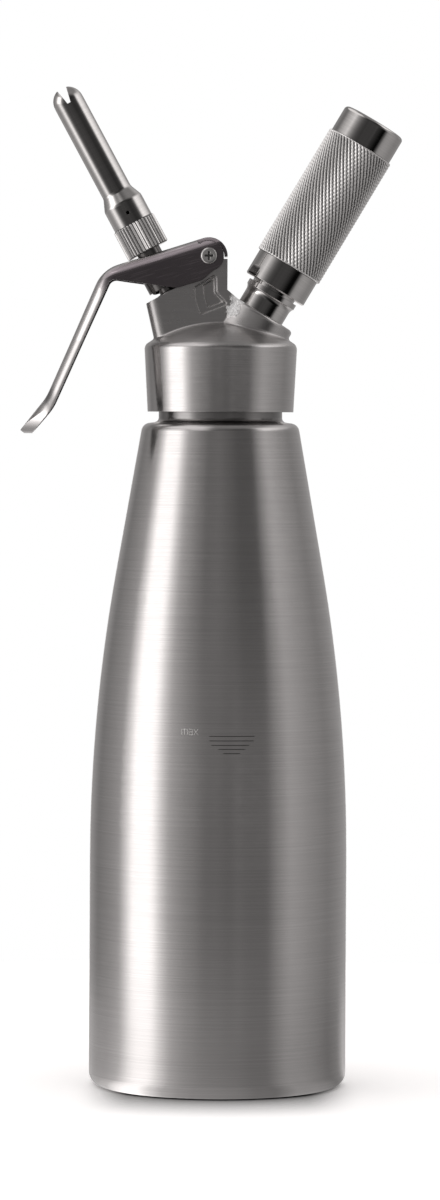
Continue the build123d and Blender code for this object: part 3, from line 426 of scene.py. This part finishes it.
def metal(
    name, colour, rough, axis=UPRIGHT, grain=(120, 120, 9000), grain_depth=0.01 * MM, spread=0.05,
    vary=0.06, aniso=0.0, blotch=0.04, edge=0.0, shade=0.0, rim=0.0,
):
    """Steel with fine machining lines round its axis and a cloudy polish.

    Grain is the lines' scale, spread how uneven the roughness is, vary and blotch how uneven the
    colour is, edge the radius of worn edges, shade how much painted shade darkens the faces turned
    to the eye, and rim how much painted shade darkens the steep ones.
    """
    material = new_material(name)
    tree = material.node_tree
    space = axis_space(tree, axis)
    lines = stretched_noise(tree, space, grain)
    cloud = stretched_noise(tree, space, (45, 45, 45), detail=2.0)
    handling = stretched_noise(tree, space, (260, 260, 260), detail=4.0, roughness=0.65)
    low = [channel * (1 - vary) for channel in colour]
    high = [min(1.0, channel * (1 + vary)) for channel in colour]
    tone = blend_colour(tree, span(tree, lines, *NOISE_RANGE, smooth=False), low, high)
    tone = greyed(tree, tone, span(tree, cloud, *NOISE_RANGE, 1 - blotch, 1 + blotch, smooth=False))
    shine = span(tree, handling, 0.35, 0.7, rough - spread, rough + spread, smooth=False)
    # Painted shade: turned faces that look straight out are darkened, standing in for the dark side of the
    # room that they mirror
    if shade:
        facing = add_node(tree, "ShaderNodeLayerWeight", {"Blend": 0.5}).outputs["Facing"]
        tone = greyed(tree, tone, span(tree, facing, 0.02, 0.2, 1 - shade, 1.0))
    # Painted shade: steep edges are darkened a little
    if rim:
        facing = add_node(tree, "ShaderNodeLayerWeight", {"Blend": 0.5}).outputs["Facing"]
        tone = greyed(tree, tone, span(tree, facing, 0.6, 0.85, 1.0, 1 - rim))
    bump = add_node(tree, "ShaderNodeBump", {"Strength": 0.5, "Distance": grain_depth, "Height": lines})
    if edge:
        worn = add_node(tree, "ShaderNodeBevel", {"Radius": edge}, samples=WORN_SAMPLES)
        tree.links.new(worn.outputs["Normal"], bump.inputs["Normal"])
    shader = add_node(
        tree,
        "ShaderNodeBsdfPrincipled",
        {"Base Color": tone, "Metallic": 1.0, "Roughness": shine, "Normal": bump.outputs["Normal"]},
    )
    if aniso:
        shader.inputs["Anisotropic"].default_value = aniso
        shader.inputs["Anisotropic Rotation"].default_value = 0.25
        tangent = add_node(tree, "ShaderNodeTangent", direction_type="RADIAL", axis="Z")
        tree.links.new(tangent.outputs[0], shader.inputs["Tangent"])
    finish_material(tree, shader)
    return material


CAP_TOP = 287.7 * MM  # where the dome begins
DOME_RISE = 9.8 * MM
DOME_RADIUS = 29.7 * MM
DOME_CURVE = 2.1
HOUSING_SIDE = 10.3 * MM
BOSS_RADIUS = 14.5 * MM
WEB_FRONT = (-12 * MM, -10 * MM)
HOUSING_SHADE, POCKET_SHADE = 0.8, 0.75
POCKET_WALL_HIGHLIGHT = 1.7
BAND_ANISO = 0.5
DOME_ROUGHER, ABOVE_ROUGHER = 0.14, 0.1
# Rough patches where the web meets the boss: centres and sizes, on both sides
PATCHES = (((0.0075, 0.0103, 0.3060), 0.0026), ((0.0050, 0.0103, 0.3015), 0.0022))
PATCH_FADE = 0.0012
PATCH_WOBBLE = 0.005
PATCH_ROUGH, PATCH_METALLIC = 0.6, 0.65
PIT_DEPTH = 0.4 * MM


def cast_metal(name, colour, rough):
    """Polished casting: turned band below, satin above, and rough corners beside the boss; painted shade
    darkens the housing and its pocket, and a painted highlight lightens the pocket's walls.
    """
    material = metal(
        name, colour, rough, grain=(70, 70, 4600), aniso=BAND_ANISO, vary=0.06, blotch=0.03, spread=0.03,
        edge=0.4 * MM,
    )
    tree = material.node_tree
    shader = main_shader(tree)
    place = object_place(tree)
    x, y, height = components(tree, place)
    depth = maths(tree, "ABSOLUTE", y)
    reach = vector_value(tree, "LENGTH", combined(tree, x, depth, 0.0))
    out = maths(tree, "MINIMUM", maths(tree, "DIVIDE", reach, DOME_RADIUS), 1.0)
    fall = maths(tree, "MULTIPLY", maths(tree, "POWER", out, DOME_CURVE), -DOME_RISE)
    over_dome = maths(tree, "SUBTRACT", height, maths(tree, "ADD", fall, CAP_TOP + DOME_RISE))
    above = span(tree, over_dome, 0.1 * MM, 0.8 * MM)
    on_dome = share_of(tree, span(tree, height, CAP_TOP - 0.8 * MM, CAP_TOP + 0.6 * MM), rest_of(tree, above))
    # The boss is told from the housing by its distance from the charger's axis
    off_axis = distance_from(tree, place, CHARGER)
    boss = share_of(tree, above, falling(tree, off_axis, BOSS_RADIUS + 0.1 * MM, BOSS_RADIUS + 0.5 * MM))
    housing = share_of(tree, above, rest_of(tree, boss))
    # Painted shade: the housing above the band is darker, and its sunk pocket darker still
    sunk = share_of(tree, housing, span(tree, depth, HOUSING_SIDE - 0.35 * MM, HOUSING_SIDE - 1.1 * MM))
    dim = faded(tree, faded(tree, 1.0, HOUSING_SHADE, housing), POCKET_SHADE, sunk)
    # Painted highlight: the pocket's walls are made lighter, as if they caught the light
    _, sideways, _ = components(tree, surface_normal(tree))
    wall_highlight = share_of(
        tree,
        housing,
        span(tree, depth, HOUSING_SIDE - 3.2 * MM, HOUSING_SIDE - 2.8 * MM),
        falling(tree, maths(tree, "ABSOLUTE", sideways), 0.6, 0.97),
        falling(tree, depth, HOUSING_SIDE - 0.3 * MM, HOUSING_SIDE),
        span(tree, x, *WEB_FRONT),
    )
    tone = greyed(tree, source(shader, "Base Color"), faded(tree, dim, POCKET_WALL_HIGHLIGHT, wall_highlight))
    shine = maths(tree, "ADD", source(shader, "Roughness"), maths(tree, "MULTIPLY", on_dome, DOME_ROUGHER))
    shine = maths(tree, "ADD", shine, maths(tree, "MULTIPLY", above, ABOVE_ROUGHER))
    tree.links.new(maths(tree, "MULTIPLY", rest_of(tree, above), BAND_ANISO), shader.inputs["Anisotropic"])
    # The rough patches
    mirrored = combined(tree, x, depth, height)
    wobble = stretched_noise(tree, place, (520, 520, 520), detail=3.0)
    uneven = maths(tree, "MULTIPLY", maths(tree, "SUBTRACT", wobble, 0.5), PATCH_WOBBLE)
    patch = 0.0
    for centre, size in PATCHES:
        away = maths(tree, "ADD", vector_value(tree, "DISTANCE", mirrored, centre), uneven)
        patch = maths(tree, "MAXIMUM", patch, falling(tree, away, size, size + PATCH_FADE))
    pits = stretched_noise(tree, place, (3200, 3200, 3200), detail=2.0)
    speckle = ramp(tree, pits, [(0.3, 0.75), (0.42, 1.0), (0.6, 1.0)])
    tree.links.new(blend_colour(tree, patch, tone, speckle), shader.inputs["Base Color"])
    tree.links.new(faded(tree, shine, PATCH_ROUGH, patch), shader.inputs["Roughness"])
    tree.links.new(faded(tree, 1.0, PATCH_METALLIC, patch), shader.inputs["Metallic"])
    pitted = share_of(tree, pits, patch)
    normal = source(shader, "Normal")
    inputs = {"Strength": 0.9, "Distance": PIT_DEPTH, "Height": pitted, "Normal": normal}
    bump = add_node(tree, "ShaderNodeBump", inputs)
    tree.links.new(bump.outputs["Normal"], shader.inputs["Normal"])
    return material


NECK_SHADE = (257.6 * MM, 259.5 * MM)
NECK_SHADE_LEVEL = 0.5
BRUSH_LEVELS = (0.955, 1.045)


def bottle_metal(name, colour, rough):
    """Brushed steel with painted shade up on the neck, under the head."""
    material = metal(
        name, colour, rough, grain=(13, 13, 2300), grain_depth=0.004 * MM, aniso=0.7, vary=0.035,
        blotch=0.015, spread=0.02,
    )
    tree = material.node_tree
    shader = main_shader(tree)
    place = object_place(tree)
    _, _, height = components(tree, place)
    # Painted shade: the neck's colour is darkened under the head
    shaded = span(tree, height, *NECK_SHADE)
    fine = stretched_noise(tree, place, (30, 30, 4200), detail=2.0)
    brushed = span(tree, fine, *NOISE_RANGE, *BRUSH_LEVELS, smooth=False)
    tone = greyed(tree, source(shader, "Base Color"), brushed)
    tree.links.new(greyed(tree, tone, faded(tree, 1.0, NECK_SHADE_LEVEL, shaded)), shader.inputs["Base Color"])
    return material


PIVOT = Vector((-4.757, 0, 322.188)) * MM
PLATE_LEAN = radians(17.6)
ALONG_PLATE = Vector((-cos(PLATE_LEAN), 0, -sin(PLATE_LEAN)))
OFF_PLATE = Vector((-sin(PLATE_LEAN), 0, cos(PLATE_LEAN)))
ALONG_HANDLE = Vector((0.665, -0.747))  # in the plate's frame, from the bend down to the lip
OFF_HANDLE = Vector((-0.913, 0, 0.408))
FLANGE_CREST = Vector((38.8, 2.9)) * MM
# Places on the lever, measured along its plate from the pivot
HANDLE_START = (37 * MM, 46 * MM)
KINK_START, KINK_END = (71 * MM, 75 * MM), (76 * MM, 79 * MM)
LIP_START = (77 * MM, 81 * MM)
BACK_HEIGHT = (3.0 * MM, 4.6 * MM)  # off the plate, where its rounded back begins
FREE_EDGE = (0.5 * MM, 1.3 * MM)  # in from the handle's free edge
HANDLE_HIGHLIGHT, PLATE_SHADE, BACK_SHADE, RUB_LEVEL = 1.3, 0.27, 0.6, 1.5
KINK_SHADE, LIP_HIGHLIGHT, FREE_EDGE_SHADOW = 0.6, 1.25, 0.3
PLATE_RUBS, BACK_RUBS = 0.15, 0.55
CHEEK_TINT = (1.0, 0.91, 0.98)
BACK_LIFT, HANDLE_ROLL, LIP_ROLL = 0.5, 0.6, 0.1


def lever_metal(name, colour, rough):
    """Formed sheet: painted shade over the valve, rubbed along its rounded back, and a painted highlight down
    the handle.
    """
    material = metal(
        name, colour, rough, grain=(500, 2600, 500), grain_depth=0.002 * MM, vary=0.03, spread=0.03,
        edge=0.3 * MM,
    )
    tree = material.node_tree
    shader = main_shader(tree)
    from_pivot = vector_maths(tree, "SUBTRACT", object_place(tree), PIVOT)
    along = vector_value(tree, "DOT_PRODUCT", from_pivot, ALONG_PLATE)
    off = vector_value(tree, "DOT_PRODUCT", from_pivot, OFF_PLATE)
    across = vector_value(tree, "DOT_PRODUCT", from_pivot, (0, 1, 0))
    handle = span(tree, along, *HANDLE_START)
    over_valve = rest_of(tree, handle)
    back = share_of(tree, over_valve, span(tree, off, *BACK_HEIGHT))
    # The handle's free edge, along its flange, where a painted shadow line runs
    from_crest = vector_maths(tree, "SUBTRACT", combined(tree, along, off, 0.0), (*FLANGE_CREST, 0))
    inward = vector_value(tree, "DOT_PRODUCT", from_crest, (-ALONG_HANDLE.y, ALONG_HANDLE.x, 0))
    free_edge = share_of(tree, handle, falling(tree, inward, *FREE_EDGE))
    # Long thin rubs that follow the plate
    rubs = stretched_noise(tree, combined(tree, along, off, across), (90, 2400, 1500), detail=2.0)
    rub = share_of(tree, span(tree, rubs, 0.56, 0.72), faded(tree, PLATE_RUBS, BACK_RUBS, back), over_valve)
    kink = within(tree, along, KINK_START, KINK_END)
    lip = span(tree, along, *LIP_START)
    # Painted highlight down the handle and on the lip; painted shade over the valve, on the rounded back, at
    # the kink and as a line along the handle's free edge; the rubs are lighter
    dim = HANDLE_HIGHLIGHT
    for level, mask in (
        (PLATE_SHADE, over_valve),
        (BACK_SHADE, back),
        (RUB_LEVEL, rub),
        (KINK_SHADE, kink),
        (LIP_HIGHLIGHT, lip),
        (FREE_EDGE_SHADOW, share_of(tree, free_edge, rest_of(tree, lip))),
    ):
        dim = faded(tree, dim, level, mask)
    tone = greyed(tree, source(shader, "Base Color"), dim)
    # The cheeks over the valve are faintly tinted purple
    _, sideways, _ = components(tree, surface_normal(tree))
    cheeks = share_of(tree, over_valve, span(tree, maths(tree, "ABSOLUTE", sideways), 0.5, 0.95))
    tone = blend_colour(tree, cheeks, tone, CHEEK_TINT, mode="MULTIPLY")
    tree.links.new(tone, shader.inputs["Base Color"])
    # The sheet's faces are slightly rounded towards the folds
    lift = maths(tree, "MULTIPLY", back, BACK_LIFT)
    roll = maths(
        tree, "ADD", maths(tree, "MULTIPLY", handle, HANDLE_ROLL), maths(tree, "MULTIPLY", lip, LIP_ROLL)
    )
    worn = next(node for node in tree.nodes if node.type == "BEVEL")
    rounded = vector_maths(tree, "ADD", worn.outputs["Normal"], scaled(tree, OFF_PLATE, lift))
    rounded = vector_maths(tree, "ADD", rounded, scaled(tree, OFF_HANDLE, roll))
    bump = next(node for node in tree.nodes if node.type == "BUMP")
    tree.links.new(vector_maths(tree, "NORMALIZE", rounded), bump.inputs["Normal"])
    return material


CROSS_DEPTH = (13.7 * MM, 13.2 * MM)  # from the middle plane in past the screw's face
CROSS_REACH = (1.7 * MM, 2.2 * MM)
CROSS_SHADE = 0.2


def screw_metal(name, colour, rough):
    """The pivot's screw, bright, with painted shade down in its cross."""
    material = metal(name, colour, rough, grain=(2500, 2500, 2500), edge=0.3 * MM)
    tree = material.node_tree
    shader = main_shader(tree)
    place = object_place(tree)
    _, y, _ = components(tree, place)
    # Painted shade down in the screw's cross
    sunk = span(tree, maths(tree, "ABSOLUTE", y), *CROSS_DEPTH)
    level = vector_maths(tree, "MULTIPLY", vector_maths(tree, "SUBTRACT", place, PIVOT), (1, 0, 1))
    cross = share_of(tree, sunk, falling(tree, vector_value(tree, "LENGTH", level), *CROSS_REACH))
    tone = greyed(tree, source(shader, "Base Color"), faded(tree, 1.0, CROSS_SHADE, cross))
    tree.links.new(tone, shader.inputs["Base Color"])
    return material


KNURL_METALLIC = 0.86
KNURL_GROOVE_SHADE = 0.06


def knurled_metal(name, colour, rough, axis, floor, top):
    """Knurled steel with painted shade down in its grooves, between two distances from its axis."""
    material = metal(name, colour, rough, axis=axis, spread=0.04)
    tree = material.node_tree
    shader = main_shader(tree)
    # Painted shade: the colour darkens towards the bottoms of the grooves
    groove_shade = span(tree, distance_from(tree, object_place(tree), axis), floor, top, KNURL_GROOVE_SHADE, 1.0)
    shader.inputs["Metallic"].default_value = KNURL_METALLIC
    tree.links.new(greyed(tree, source(shader, "Base Color"), groove_shade), shader.inputs["Base Color"])
    return material


def soft_rubber(name, colour):
    """Moulded rubber with a fine, dusty grain."""
    material = new_material(name)
    tree = material.node_tree
    dust = stretched_noise(tree, object_place(tree), (900, 900, 900), detail=3.0)
    dark = [channel * 0.85 for channel in colour]
    pale = [channel * 1.2 for channel in colour]
    tone = blend_colour(tree, span(tree, dust, *NOISE_RANGE), dark, pale)
    shine = span(tree, dust, *NOISE_RANGE, 0.5, 0.65)
    bump = add_node(tree, "ShaderNodeBump", {"Strength": 0.3, "Distance": 0.05 * MM, "Height": dust})
    inputs = {"Base Color": tone, "Roughness": shine, "Normal": bump.outputs["Normal"]}
    finish_material(tree, add_node(tree, "ShaderNodeBsdfPrincipled", inputs))
    return material


def paint(material, *names):
    for name in names:
        node = nodes[name]
        if not node.material_slots:
            node.data.materials.append(material)
        for held in node.material_slots:
            held.material = material


# Sizes of the two knurled parts, along their axes from the points given above
GRIP_RADIUS = 13.7 * MM
GRIP_FOOT = 10.5 * MM
GRIP_END = 64.6 * MM
GRIP_INSIDE = 11.3 * MM
GRIP_GROOVE = (0.42 * MM, 0.2 * MM)  # depths below the ridges between which the painted groove shade comes in
KNURL_STARTS = 55
KNURL_ROWS = 20
KNURL_DEPTHS = (0.16 * MM, 0.44 * MM)  # of the two families of grooves
KNURL_FLAT = 0.06  # width of the ridges' flat tops, as a share of their pitch
KNURL_SIDE = (1 - KNURL_FLAT) / 2
KNURL_EDGE = 0.7 * MM  # plain bevel at both ends
# The bevel's loops and the bore's edge: radius, and distance out from the knurl's last row
GRIP_ENDS = (
    (GRIP_RADIUS - 0.12 * MM, 0.5 * MM), (GRIP_RADIUS - 0.5 * MM, KNURL_EDGE), (GRIP_INSIDE, KNURL_EDGE)
)
COLLAR_RADIUS = 8.65 * MM
COLLAR_LENGTH = 12.2 * MM
COLLAR_INSIDE = 6.6 * MM
COLLAR_GROOVE = (0.5 * MM, 0.15 * MM)
COLLAR_RIDGES = 38
COLLAR_FLAT = (0.42, 0.58)  # where a ridge's top begins and ends, as shares of the pitch
COLLAR_DEPTH = 0.45 * MM
COLLAR_BEVEL = 0.45 * MM
COLLAR_STEP = 0.05 * MM  # the end faces stand in from the grooves by this

STEEL = (0.60, 0.585, 0.58)
BRIGHT_STEEL = (0.68, 0.665, 0.655)
FINISHES = {}


def make_materials():
    FINISHES["bottle"] = bottle_metal("brushed_bottle", STEEL, 0.22)
    FINISHES["head"] = cast_metal("cast_head", STEEL, 0.2)
    FINISHES["lever"] = lever_metal("satin_lever", STEEL, 0.26)
    FINISHES["polished_valve"] = metal(
        "polished_valve", (0.5, 0.485, 0.48), 0.14, axis=VALVE, spread=0.03, shade=0.4, edge=0.2 * MM
    )
    FINISHES["nozzle"] = metal(
        "polished_nozzle", BRIGHT_STEEL, 0.12, axis=VALVE, grain=(90, 90, 2600), spread=0.03, shade=0.72,
        edge=0.2 * MM, rim=0.2,
    )
    FINISHES["charger_side"] = metal(
        "polished_charger_side", BRIGHT_STEEL, 0.085, axis=CHARGER, grain=(70, 70, 3000), spread=0.03,
        shade=0.72, edge=0.2 * MM, rim=0.5,
    )
    floor, top = (GRIP_RADIUS - depth for depth in GRIP_GROOVE)
    FINISHES["knurl"] = knurled_metal("knurled_steel", (0.95, 0.935, 0.925), 0.32, CHARGER, floor, top)
    floor, top = (COLLAR_RADIUS - depth for depth in COLLAR_GROOVE)
    FINISHES["collar"] = knurled_metal("knurled_collar", (0.9, 0.885, 0.875), 0.14, VALVE, floor, top)
    # Painted shade: the valve stem and thrust washer under the lever are coloured as dark steel
    FINISHES["shaded"] = metal(
        "shaded_steel", (0.14, 0.135, 0.133), 0.16, axis=VALVE, spread=0.03, edge=0.2 * MM
    )
    FINISHES["screw"] = screw_metal("screw_steel", (0.66, 0.65, 0.64), 0.3)
    FINISHES["brass"] = metal("bush_brass", (0.72, 0.52, 0.26), 0.25, axis=VALVE)
    FINISHES["spring"] = metal("spring_steel", (0.5, 0.49, 0.48), 0.25, grain=(1500, 1500, 1500))
    FINISHES["capsule"] = metal("capsule_steel", (0.62, 0.6, 0.59), 0.22, axis=CHARGER)
    FINISHES["rubber"] = soft_rubber("seal_rubber", (0.05, 0.05, 0.052))
    paint(FINISHES["bottle"], "bottle")
    paint(FINISHES["head"], "head_casting")
    paint(FINISHES["lever"], "lever")
    paint(FINISHES["shaded"], "valve_stem", "thrust_washer")
    paint(FINISHES["polished_valve"], "seal_plate", "valve_nut")
    paint(FINISHES["nozzle"], "nozzle_tip")
    paint(FINISHES["collar"], "nozzle_collar")
    paint(FINISHES["charger_side"], "charger_spigot", "holder_body", "holder_cap")
    paint(FINISHES["charger_side"], "piercing_needle", "check_valve_ball", "check_valve_plug")
    paint(FINISHES["knurl"], "holder_grip")
    paint(FINISHES["screw"], "pivot_sleeve", "pivot_screw")
    paint(FINISHES["brass"], "valve_bush")
    paint(FINISHES["spring"], "return_spring", "check_valve_spring")
    paint(FINISHES["capsule"], "gas_charger")
    paint(FINISHES["rubber"], "head_gasket", "stem_ring", "valve_seal", "nozzle_seal")
    paint(FINISHES["rubber"], "spigot_seal", "charger_seal")


# ---- Pieces ---------------------------------------------------------------------------------
def piece(name, points, faces, material, body):
    """A flat-shaded mesh that rides on a body."""
    mesh = bpy.data.meshes.new(name)
    mesh.from_pydata([tuple(point) for point in points], [], faces)
    mesh.validate()
    shape = bmesh.new()
    shape.from_mesh(mesh)
    bmesh.ops.recalc_face_normals(shape, faces=shape.faces)
    shape.to_mesh(mesh)
    shape.free()
    for polygon in mesh.polygons:
        polygon.use_smooth = False
    mesh.materials.append(material)
    made = bpy.data.objects.new(name, mesh)
    scene.collection.objects.link(made)
    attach(made, body)
    return made


def sides_of(direction):
    """The two directions across an axis: to the front, and to the side."""
    side = Vector((0, 1, 0))
    return direction.cross(side), side


def on_axis(axis, radius, angle, height):
    """A point round a turned part's axis."""
    origin, direction = axis
    front, side = sides_of(direction)
    return origin + direction * height + (front * cos(angle) + side * sin(angle)) * radius


def angle_round(axis, point):
    """The angle of a point round a turned part's axis."""
    origin, direction = axis
    front, side = sides_of(direction)
    across = point - origin
    return atan2(across.dot(side), across.dot(front))


def band_between(lower, upper):
    """The quads between two loops that have the same number of points."""
    count = len(lower)
    return [
        (lower[place], lower[(place + 1) % count], upper[(place + 1) % count], upper[place])
        for place in range(count)
    ]


def groove(share, depth):
    """How deep a V groove is at a share of the pitch, which runs from one groove to the next."""
    return depth * max(0.0, 1 - min(share % 1, 1 - share % 1) / KNURL_SIDE)


def make_knurled_grip():
    """The sleeve with raised diamonds between two families of helical grooves."""
    foot = GRIP_FOOT + KNURL_EDGE
    rise = (GRIP_END - KNURL_EDGE - foot) / KNURL_ROWS
    points = []
    faces = []
    placed = {}

    def lattice_point(first, second):
        """The point where a place in one family of grooves meets a place in the other."""
        turn = (first + second) / 2
        row = min(max((first - second) / 2, 0), KNURL_ROWS)
        key = (round(turn % KNURL_STARTS, 4), round(row, 4))
        if key not in placed:
            shallow, deep = KNURL_DEPTHS
            sunk = max(groove(turn + row, shallow), groove(turn - row, deep))
            angle = turn / KNURL_STARTS * 2 * pi
            placed[key] = len(points)
            points.append(on_axis(CHARGER, GRIP_RADIUS - sunk, angle, foot + row * rise))
        return placed[key], key[1]

    steps = (0, KNURL_SIDE, 1 - KNURL_SIDE, 1)
    for start in range(KNURL_STARTS):
        for climb in range(2 * KNURL_ROWS + 1):
            first = start + climb // 2
            second = start - (climb + 1) // 2
            for low_a, high_a in zip(steps, steps[1:]):
                for low_b, high_b in zip(steps, steps[1:]):
                    ring = [
                        lattice_point(first + low_a, second + low_b),
                        lattice_point(first + high_a, second + low_b),
                        lattice_point(first + high_a, second + high_b),
                        lattice_point(first + low_a, second + high_b),
                    ]
                    corners = list(dict.fromkeys(place for place, row in ring))
                    if len({row for place, row in ring}) > 1 and len(corners) > 2:
                        faces.append(tuple(corners))
    # The sleeve's bevelled ends, and its bore
    holes = []
    for row, direction in ((0, -1), (KNURL_ROWS, 1)):
        rim = [placed[key] for key in sorted(placed) if key[1] == row]
        height = foot + row * rise
        loops = [rim]
        for radius, out in GRIP_ENDS:
            loop = []
            for place in rim:
                loop.append(len(points))
                angle = angle_round(CHARGER, points[place])
                points.append(on_axis(CHARGER, radius, angle, height + direction * out))
            loops.append(loop)
        for lower, upper in zip(loops, loops[1:]):
            faces.extend(band_between(lower, upper))
        holes.append(loops[-1])
    faces.extend(band_between(*holes))
    grip = piece("holder_knurl", points, faces, FINISHES["knurl"], "holder")
    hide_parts("holder_grip")


def make_knurled_collar():
    """The nozzle's collar with straight V grooves between flat-topped ridges."""
    points = []
    faces = []
    loops = []
    low = COLLAR_RADIUS - COLLAR_DEPTH
    end = low - COLLAR_STEP
    # Each loop's radius on the ridges and in the grooves, and its height
    outline = (
        (COLLAR_INSIDE, COLLAR_INSIDE, 0),
        (end, end, 0),
        (COLLAR_RADIUS, low, COLLAR_BEVEL),
        (COLLAR_RADIUS, low, COLLAR_LENGTH - COLLAR_BEVEL),
        (end, end, COLLAR_LENGTH),
        (COLLAR_INSIDE, COLLAR_INSIDE, COLLAR_LENGTH),
    )
    flat_start, flat_end = COLLAR_FLAT
    for ridge_radius, groove_radius, height in outline:
        loop = []
        for ridge in range(COLLAR_RIDGES):
            for share, radius in ((0.0, groove_radius), (flat_start, ridge_radius), (flat_end, ridge_radius)):
                angle = (ridge + share) / COLLAR_RIDGES * 2 * pi
                loop.append(len(points))
                points.append(on_axis(VALVE, radius, angle, height))
        loops.append(loop)
    for lower, upper in zip(loops, loops[1:] + loops[:1]):
        faces.extend(band_between(lower, upper))
    collar = piece("nozzle_knurl", points, faces, FINISHES["collar"], "nozzle")
    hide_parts("nozzle_collar")


# The bottle's wall and its marks, in millimetres
BOTTLE_RADIUS = 50.0
STRAIGHT_HEIGHT = 88.0
WAIST_CURVE = 650.0
CONE_LEAN = radians(9.9)
STROKE_LIFT = 0.035
STROKE_STEP = 0.8  # longest flat run of a stroke
TAPERED_LENGTH = 5  # strokes longer than this have narrow ends
TAPER = 0.35
LINE_WIDTH = 0.32
LETTER_WIDTH = 0.22
FILL_LINES = (  # heights, left ends and right ends
    (138.8, -3.8, 14.1), (137.1, -3.8, 13.7), (135.4, -3.0, 11.8), (133.9, -0.3, 10.3), (132.3, 1.6, 8.4),
)
WORD_LEFT, WORD_FOOT = -14.3, 139.3
LETTER_HEIGHT = 2.1
A_WAIST = 1.15
WORD_STROKES = (
    ((0, 0), (0, LETTER_HEIGHT)), ((0, LETTER_HEIGHT), (2.2, LETTER_HEIGHT)),
    ((1.1, LETTER_HEIGHT), (1.1, 0)), ((2.2, LETTER_HEIGHT), (2.2, 0)),
    ((2.9, LETTER_HEIGHT), (4.2, LETTER_HEIGHT)), ((4.2, LETTER_HEIGHT), (4.2, 0)), ((4.2, 0), (2.9, 0)),
    ((2.9, 0), (2.9, A_WAIST)), ((2.9, A_WAIST), (4.2, A_WAIST)),
    ((4.8, 0), (6.3, LETTER_HEIGHT)), ((4.8, LETTER_HEIGHT), (6.3, 0)),
)


def bottle_radius_at(height):
    """The bottle's outside radius on its straight foot, its long curve and its cone."""
    rise = height - STRAIGHT_HEIGHT
    if rise <= 0:
        return BOTTLE_RADIUS
    if rise < WAIST_CURVE * sin(CONE_LEAN):
        return BOTTLE_RADIUS - WAIST_CURVE + sqrt(WAIST_CURVE**2 - rise**2)
    end = BOTTLE_RADIUS - WAIST_CURVE * (1 - cos(CONE_LEAN))
    return end - (rise - WAIST_CURVE * sin(CONE_LEAN)) * tan(CONE_LEAN)


def wrapped_strokes(strokes, width):
    """Strokes drawn on the front of the bottle, each a flat ribbon that follows the wall."""
    points = []
    faces = []
    for (x1, z1), (x2, z2) in strokes:
        run = Vector((x2 - x1, z2 - z1))
        length = run.length
        along = run / length
        across = Vector((-along.y, along.x)) * width / 2
        steps = max(2, ceil(length / STROKE_STEP))
        for place in range(steps + 1):
            centre = Vector((x1, z1)) + run * (place / steps)
            pinch = TAPER if place in (0, steps) and length > TAPERED_LENGTH else 1.0
            for sign in (-1, 1):
                spot = centre + across * sign * pinch
                radius = bottle_radius_at(spot.y) + STROKE_LIFT
                angle = spot.x / radius
                points.append((radius * sin(angle) * MM, -radius * cos(angle) * MM, spot.y * MM))
            if place:
                last = len(points)
                faces.append((last - 4, last - 2, last - 1, last - 3))
    return points, faces


def make_fill_marks():
    """Five engraved fill lines, each shorter than the one above, and the word max beside them."""
    mark = metal("etched_mark", (0.16, 0.155, 0.155), 0.5, grain=(60, 60, 5000))
    lines = [((left, height), (right, height)) for height, left, right in FILL_LINES]
    points, faces = wrapped_strokes(lines, LINE_WIDTH)
    piece("fill_marks", points, faces, mark, "bottle")
    faint = metal("etched_word", (0.9, 0.89, 0.88), 0.6, grain=(60, 60, 5000))
    letters = [
        ((WORD_LEFT + x1, WORD_FOOT + z1), (WORD_LEFT + x2, WORD_FOOT + z2))
        for (x1, z1), (x2, z2) in WORD_STROKES
    ]
    points, faces = wrapped_strokes(letters, LETTER_WIDTH)
    piece("fill_word", points, faces, faint, "bottle")


def make_pressed_spring(name, node):
    """The spring's own coil, a copy of its mesh that rides on the head in place of the spring."""
    coil = bpy.data.objects.new(name, nodes[node].data.copy())
    scene.collection.objects.link(coil)
    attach(coil, "head")
    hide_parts(node)
    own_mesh(coil)


make_camera()
make_world()
make_floor()
make_materials()
make_knurled_grip()
make_knurled_collar()
make_fill_marks()
make_pressed_spring("return_coil", "return_spring")
make_pressed_spring("check_coil", "check_valve_spring")

scene.view_settings.view_transform = "Standard"
